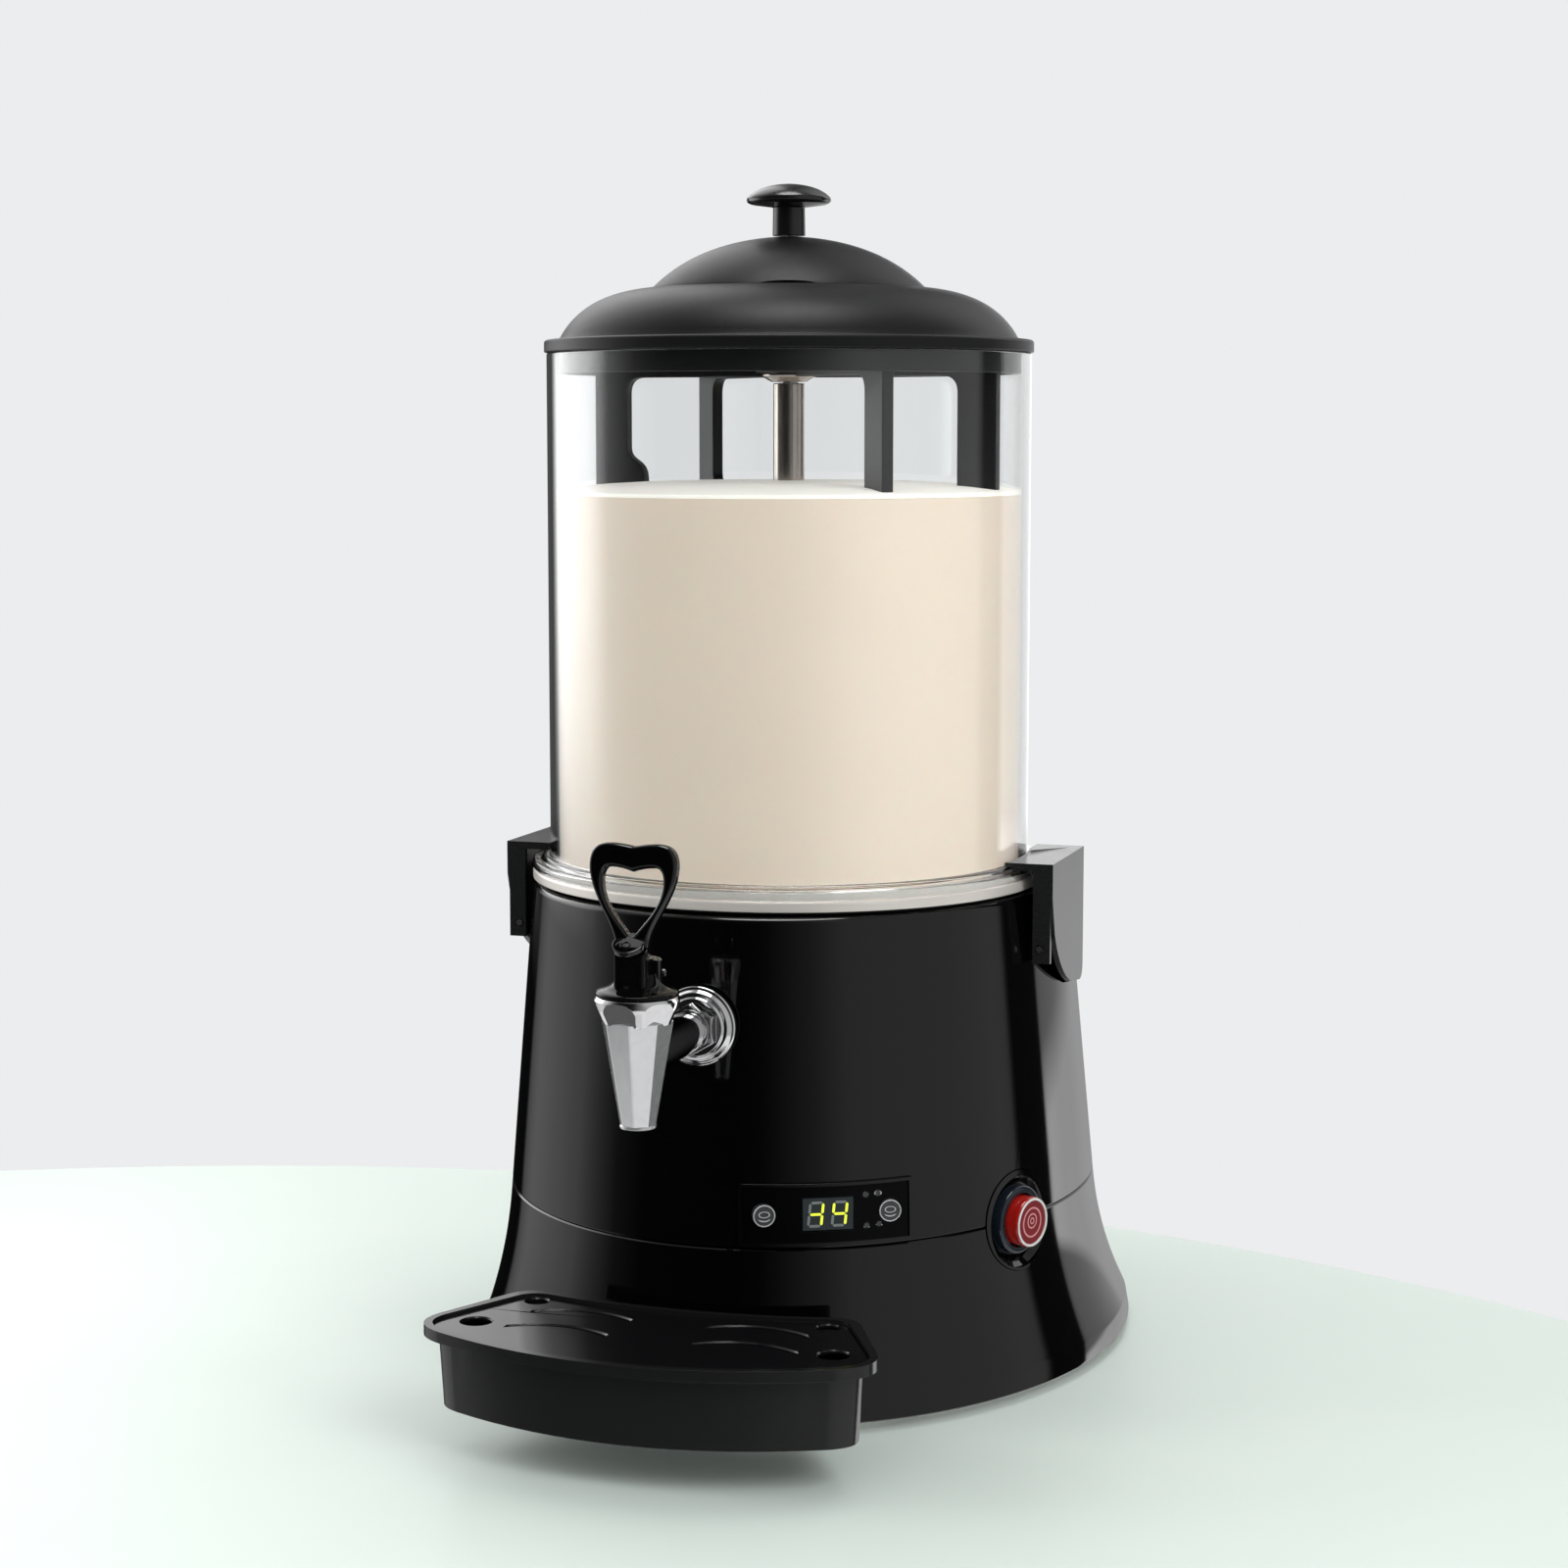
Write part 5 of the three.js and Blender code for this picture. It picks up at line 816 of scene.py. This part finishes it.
show = panel_place @ at(0, 0, 1.3)
lit_bars = flat_piece(digit(-4.9, "bcg") + digit(4.7, "bcfg"), 0.24, 2, show)
dull_bars = flat_piece(digit(-4.9, "adef") + digit(4.7, "ade"), 0.16, 2, show)
add_piece("digits_lit", lit_bars, "machine", "smoked_window", yellow_green)
add_piece("digits_unlit", dull_bars, "machine", "smoked_window", unlit_grey)

key_grey = moulded("key grey", (0.030, 0.030, 0.034), (0.075, 0.075, 0.082), 0.25, 0.06, 900.0, 0.05)
for key_place, name in zip(key_places, ("key_left", "key_right")):
    cap = turned([(0, -8.6), (4.5, -8.6), (4.5, 0.1, 0.3), (3.9, 0.35, 0.2), (0, 0.2)], steps=64,
                 closed=False,
                 place=key_place)
    add_piece(name + "_cap", cap, name, "grey_key", key_grey, name)
    ring = turned([(3.95, 0.1), (4.42, 0.1, 0.1), (4.42, 0.5, 0.15), (3.95, 0.5, 0.15)], steps=64,
                  place=key_place)
    oval_mark = turned([(1.5, 0.15), (1.85, 0.15), (1.85, 0.42), (1.5, 0.42)], steps=40,
                       place=key_place @ at(0, 0.5, 0) @ Matrix.Diagonal((1.25, 0.7, 1, 1)))
    base_mark = flat_piece([[(-2.4, -1.3), ((0, -2.6), (2.4, -1.3)), ((2.1, -1.8),),
                             ((0, -3.0), (-2.1, -1.8)),
                             ((-2.4, -1.3),)]], 0.3, 10, key_place @ at(0, 0, 0.3))
    carve(ring, oval_mark, base_mark, keep="UNION")
    add_piece(name + "_marks", ring, name, "grey_key", mark_white)

lamp_marks = bmesh.new()
for i, (across, up) in enumerate(lamp_places):
    spot = panel_place @ at(across, up - 0.9 * (up < 0), 1.3 - across ** 2 / 248)
    mark = turned([(1.0, -0.2), (1.35, -0.2), (1.35, 0.15), (1.0, 0.15)], steps=32,
                  place=spot @ Matrix.Diagonal((1.1 - 0.25 * (i % 2 == 0), 0.75, 1, 1)))
    mesh = bpy.data.meshes.new("mark")
    mark.to_mesh(mesh)
    mark.free()
    lamp_marks.from_mesh(mesh)
    bpy.data.meshes.remove(mesh)
add_piece("lamp_marks", lamp_marks, "machine", "pale_lens", mark_white)

# Power switch: a dished cup let into the casing across the seam, a dark ring in it, and a red
# cap with a white edge and printed circles.
cup = carve(turned([(11.2, -8.8), (20.5, -8.8), (20.5, 7.3), (11.2, 7.3)], steps=96, place=switch_place),
            casing_slab(20, 110, 0.5), keep="INTERSECT")
carve(cup, turned([(0, -4), (15.4, -4, 0.8), (19.4, 0.8), (19.4, 20), (0, 20)], steps=96, closed=False,
                  place=switch_place))
add_piece("switch_dish", soften(cup, 0.3, 2, 50), "machine", "satin_black", gloss_black, "switch_cup")
blue_black = moulded("blue black plastic", (0.006, 0.010, 0.016), (0.012, 0.018, 0.026), 0.14, 0.04, 900.0,
                     0.03)
add_piece("switch_ring", turned([(11.2, -3.7), (14.2, -3.7, 0.3), (14.2, 0.9, 0.5), (13.2, 1.5, 0.5),
                                 (11.2, 1.5, 0.3)],
                                steps=96, place=switch_place), "machine", "gloss_black", blue_black,
                                "switch_bezel")
red_cap = moulded("red cap", (0.36, 0.008, 0.006), (0.48, 0.016, 0.010), 0.12, 0.05, 300.0, 0.02,
                  Coat_Weight=0.4)
add_piece("switch_cap", turned([(0, -9), (10.4, -9, 0.3), (10.4, 6.9, 1.1), (9.2, 7.1), (9.0, 6.7), (0, 6.7)],
                               steps=96, closed=False, place=switch_place), "power_button", "red_button",
                               red_cap,
          "power_button")
white_edge = moulded("white edge", (0.66, 0.64, 0.64), (0.78, 0.76, 0.76), 0.3, 0.05, 900.0, 0.02)
add_piece("switch_cap_edge", turned([(9.0, 6.8), (10.1, 6.8, 0.2), (10.0, 7.3, 0.2), (9.1, 7.3, 0.2)],
                                    steps=96,
                                    place=switch_place), "power_button", "red_button", white_edge)
face_red = moulded("dark red face", (0.16, 0.012, 0.016), (0.24, 0.022, 0.028), 0.16, 0.05, 300.0, 0.02)
add_piece("switch_cap_face", turned([(0, 6.6), (8.9, 6.6), (8.9, 6.78), (0, 6.78)], steps=96, closed=False,
                                    place=switch_place), "power_button", "red_button", face_red)
pink_print = moulded("pink print", (0.60, 0.20, 0.22), (0.76, 0.34, 0.36), 0.35, 0.05, 900.0, 0.02)
circles = turned([(5.6, 6.6), (6.3, 6.6), (6.3, 6.85), (5.6, 6.85)], steps=64, place=switch_place)
for inner, outer, shift in ((2.6, 3.2, 0.6), (0.9, 1.4, 0.6)):
    carve(circles, turned([(inner, 6.6), (outer, 6.6), (outer, 6.85), (inner, 6.85)], steps=48,
                          place=switch_place @ at(0, shift, 0)), keep="UNION")
add_piece("switch_cap_print", circles, "power_button", "red_button", pink_print)

# Drip tray: a shallow black moulding with a thin overhanging rim, a ledge for the plate and two
# tongues at the back that slide into the casing's slots.


def tray_outline(inset):
    """The tray's outline: bowed front, slanted sides, hollow back and round corners"""
    half, front = 96 - inset, -187 + inset / 2
    back_half, back = 69 - inset, -129.5 - inset
    corners = [Vector(point) for point in ((half, front), (-half, front), (-back_half, back),
                                           (back_half, back))]
    rounds = [17 - inset / 2, 17 - inset / 2, 11 - inset / 2, 11 - inset / 2]
    bows = [-215.5 + inset, (front + back) / 2, -139 - inset, (front + back) / 2]
    edges = []
    for i, corner in enumerate(corners):
        other = corners[(i + 1) % 4]
        pull = Vector(((corner.x + other.x) / 2, bows[i] * 2 - (corner.y + other.y) / 2))
        near = rounds[i] / (other - corner).length
        far = 1 - rounds[(i + 1) % 4] / (other - corner).length
        spot = lambda u, v: corner * (1 - u) * (1 - v) + pull * (u * (1 - v) + v * (1 - u)) + other * u * v
        edges.append((spot(near, near), spot(near, far), spot(far, far)))
    bends = []
    for i, (start, pull, end) in enumerate(edges):
        bends += [(tuple(pull), tuple(end)), (tuple(corners[(i + 1) % 4]), tuple(edges[(i + 1) % 4][0]))]
    return [tuple(edges[0][0])] + bends


def tray_slab(inset, low, high, draft=1.0, steps=16):
    """A slab with the tray's outline, its lower face a little smaller"""
    shape = flat_piece([tray_outline(inset)], high - low, steps, at(0, 0, (low + high) / 2))
    bmesh.ops.scale(shape, vec=(draft, draft, 1), space=at(0, 177.25, 0),
                    verts=[vert for vert in shape.verts if vert.co.z < (low + high) / 2])
    return shape


tray = carve(soften(tray_slab(6, 14, 42.6, 0.978), 1.2, 3), soften(tray_slab(0, 42.2, 46.7), 1, 3),
             keep="UNION")
tongues = [soften(block((hand * tongue_reach - 8, -142, 28), (hand * tongue_reach + 8, -109, 31)), 0.4)
           for hand in (-1, 1)]
carve(tray, tray_slab(8.2, 16.3, 43.9, 0.978), tray_slab(3.5, 43.3, 48))
carve(tray, *tongues, keep="UNION")
tray_black = moulded("tray plastic", (0.006, 0.006, 0.0064), (0.011, 0.011, 0.0116), 0.2, 0.05, 1400.0, 0.06)
add_piece("tray_shell", tray, "drip_tray", "gloss_black", tray_black, "drip_tray")

# Drip plate: a loose black plate in the tray's rim, with four round holes and four arched slots
# that let spilt drink through.
plate_black = moulded("plate plastic", (0.003, 0.003, 0.0034), (0.006, 0.006, 0.0066), 0.13, 0.05, 1400.0,
                      0.08,
                      Specular_IOR_Level=0.35)


def arched_slot(hand, depth, near, far):
    """An arched slot through the plate"""
    row, rise, wide = -139 - depth, 13, 2.4
    near, far = hand * near, hand * far
    middle = (near + far) / 2
    return [(near, row), ((middle, row + rise), (far, row)), ((far, row - wide),),
            ((middle, row + rise - wide), (near, row - wide)), ((near, row),)]


def round_hole(x, y, radius):
    """A round hole as four bends"""
    pull = radius * 0.5523
    return [(x + radius, y), ((x + radius, y + pull), (x + pull, y + radius), (x, y + radius)),
            ((x - pull, y + radius), (x - radius, y + pull), (x - radius, y)),
            ((x - radius, y - pull), (x - pull, y - radius), (x, y - radius)),
            ((x + pull, y - radius), (x + radius, y - pull), (x + radius, y))]


holes = [round_hole(hand * x, y, radius) for hand in (-1, 1) for x, y,
         radius in ((72.6, -174.3, 6.05), (60.5, -141.3, 4.6))]
slots = [arched_slot(hand, *row) for hand in (-1, 1) for row in ((36.5, 18, 59), (15, 16, 57))]
plate = flat_piece([tray_outline(3.8)] + holes + slots, 2, 16, at(0, 0, 44.4))
bmesh.ops.remove_doubles(plate, verts=plate.verts, dist=0.002)
bmesh.ops.dissolve_limit(plate, angle_limit=math.radians(0.5), verts=plate.verts, edges=plate.edges)
add_piece("tray_plate", soften(plate, 0.6, 1, 50, clamped=False), "drip_plate", "gloss_black", plate_black,
          "drip_plate")

# Table, light and camera: a round pale table top, soft light from the upper right and the left,
# and the camera at the photograph's place.
table_shape = bmesh.new()
bmesh.ops.create_cone(table_shape, cap_ends=True, segments=256, radius1=0.823, radius2=0.823, depth=0.02,
                      matrix=at(-0.113, -0.572 + machine_axis.translation.y, -0.01))
table = drawn("table_top", table_shape)
table_shape.free()
table_paint = moulded("pale mint table", (0.76, 0.86, 0.80), (0.80, 0.89, 0.83), 0.45, 0.1, 12.0, 0.0)
table.data.materials.append(table_paint)
table.visible_glossy = False

world = bpy.data.worlds.new("studio")
bpy.context.scene.world = world
world.use_nodes = True
tree = world.node_tree
tree.nodes.clear()
direction = chained(tree, "ShaderNodeTexCoord")
parts = chained(tree, "ShaderNodeSeparateXYZ", Vector=direction.outputs["Generated"])
bearing = maths(tree, "ARCTAN2", parts.outputs["X"], maths(tree, "MULTIPLY", parts.outputs["Y"], -1.0))
round_share = chained(tree, "ShaderNodeMapRange", {"From Min": -math.pi, "From Max": math.pi}, Value=bearing)
brightest = 8.0


def grey(level):
    """A brightness as a colour that is a share of the brightest screen"""
    return (level / brightest,) * 3 + (1,)


def screens(stops):
    """Light and dark screens round the object, given as bearing and brightness"""
    ramp_node = chained(tree, "ShaderNodeValToRGB", Fac=round_share.outputs[0])
    ramp = ramp_node.color_ramp
    for i, (angle, level) in enumerate(stops):
        if 0 < i < len(stops) - 1:
            element = ramp.elements.new((angle + 180) / 360)
        else:
            element = ramp.elements[0 if i == 0 else len(ramp.elements) - 1]
        element.color = grey(level)
    return ramp_node.outputs[0]


def above(low, high, under, over):
    """Fades from one ring of screens to another between two heights"""
    share = chained(tree, "ShaderNodeMapRange", {"From Min": low, "From Max": high}, Value=parts.outputs["Z"])
    return between(tree, share.outputs[0], *[grey(ring) if isinstance(ring, float) else ring
                                             for ring in (under, over)])


left_side = [(-128, 0.2), (-118, 0.5), (-109, 0.62)]
front = [(-95, 0.72), (-83, 0.7), (-71, 0.34), (-60, 0.09), (-45, 0.012), (0, 0.006), (10, 0.02), (18, 0.07),
         (34, 0.22), (48, 0.46), (60, 0.5), (113, 0.5), (119, 0.42), (121.5, 0.02), (138, 0.02)]
level = screens([(-180, 0.52), (-175, 0.42), (-164, 0.4), (-161, 0.005), (-131, 0.005)] + left_side + front
                + [(139.5, 2.6), (149, 1.7), (159, 1.15), (165, 0.95), (175, 0.66), (180, 0.52)])
raised = screens([(-180, 0.9), (-172, 1.5), (-166, 1.8), (-163, 0.1), (-131, 0.05)] + left_side + front
                 + [(139.5, 0.7), (150, 0.65), (165, 0.7), (180, 0.9)])
high = screens([(-180, 0.5), (-168, 0.1), (-163, 0.16), (-159.5, 0.35), (-157, 1.5), (-150, 2), (-128, 1.9),
                (-109, 0.9)] + front + [(139.5, 2.0), (149, 1.4), (159, 1.0), (180, 0.5)])
floor = screens([(-180, 0.8), (-120, 0.95), (-80, 0.85), (-35, 0.7), (0, 0.75), (30, 0.9), (75, 1.0),
                 (120, 0.85),
                 (180, 0.8)])
depth = screens([(-180, 0.9), (-90, 1.1), (-82, 0.12), (6, 0.12), (14, 0.75), (60, 0.8), (100, 0.9),
                 (180, 0.9)])
studio = above(-0.15, -0.125, level, raised)
studio = above(0.18, 0.23, studio, high)
studio = above(-0.48, -0.40, floor, studio)
studio = above(-0.72, -0.64, depth, studio)
studio = above(0.82, 0.9, studio, 0.35)
studio = above(0.955, 0.97, studio, 8.0)
studio = above(-0.97, -0.955, 6.0, studio)
path = chained(tree, "ShaderNodeLightPath")
seen = chained(tree, "ShaderNodeBackground", {"Color": (0.84, 0.845, 0.855, 1)})
mirrored = chained(tree, "ShaderNodeBackground", {"Strength": brightest}, Color=studio)
lighting = chained(tree, "ShaderNodeBackground", {"Color": (1, 1, 1, 1), "Strength": 0.55})
bounced = maths(tree, "MINIMUM", path.outputs["Glossy Depth"], 1.0)
first_mix = mixed(tree, bounced, lighting.outputs[0], mirrored.outputs[0])
bounces = maths(tree, "ADD", path.outputs["Glossy Depth"], path.outputs["Diffuse Depth"])
straight = maths(tree, "LESS_THAN", bounces, 0.5)
chained(tree, "ShaderNodeOutputWorld", Surface=mixed(tree, straight, first_mix, seen.outputs[0]))


def soft_lamp(name, place, aim, size, power):
    """A large soft lamp that points at a place"""
    data = bpy.data.lights.new(name, "AREA")
    data.shape = "RECTANGLE"
    data.size, data.size_y = size
    data.energy = power
    lamp = bpy.data.objects.new(name, data)
    lamp.visible_glossy = False
    lamp.location = place
    lamp.rotation_euler = (Vector(aim) - Vector(place)).to_track_quat("-Z", "Y").to_euler()
    bpy.context.scene.collection.objects.link(lamp)
    return lamp


left_panel = soft_lamp("left_panel", (-0.57, 0.09, 0.42), (-0.05, 0, 0.42), (0.6, 0.56), 2.0)
left_panel.visible_camera = False
left_panel.visible_glossy = True
left_panel.data.use_nodes = True
tree = left_panel.data.node_tree
spot = chained(tree, "ShaderNodeNewGeometry")
sides = chained(tree, "ShaderNodeSeparateXYZ", Vector=spot.outputs["Parametric"])
fades = []
for axis, steep in (("X", 5.0), ("Y", 4.0)):
    across = sides.outputs[axis]
    dome = maths(tree, "MULTIPLY", across, maths(tree, "SUBTRACT", 1.0, across))
    fades.append(maths(tree, "MULTIPLY", dome, steep, clamp=True))
tree.links.new(maths(tree, "MULTIPLY", *fades), tree.nodes["Emission"].inputs["Strength"])
soft_lamp("right_light", (1.3, -0.9, 1.3), (0, 0, 0.2), (0.9, 0.9), 12)
soft_lamp("left_light", (-1.5, -0.5, 0.7), (0, 0, 0.3), (0.5, 1.2), 8).visible_transmission = False
soft_lamp("top_light", (0.1, 0.5, 1.7), (0, 0, 0.4), (1.2, 0.8), 8)

camera_data = bpy.data.cameras.new("camera")
camera_data.lens = 71.09
camera_data.sensor_width = 36
camera = bpy.data.objects.new("camera", camera_data)
camera.location = (0.39632, -1.25635 + machine_axis.translation.y, 0.39737)
camera.rotation_euler = (math.radians(83.32), 0, math.radians(17.60))
bpy.context.scene.collection.objects.link(camera)
bpy.context.scene.camera = camera
bpy.context.scene.view_settings.view_transform = "Standard"
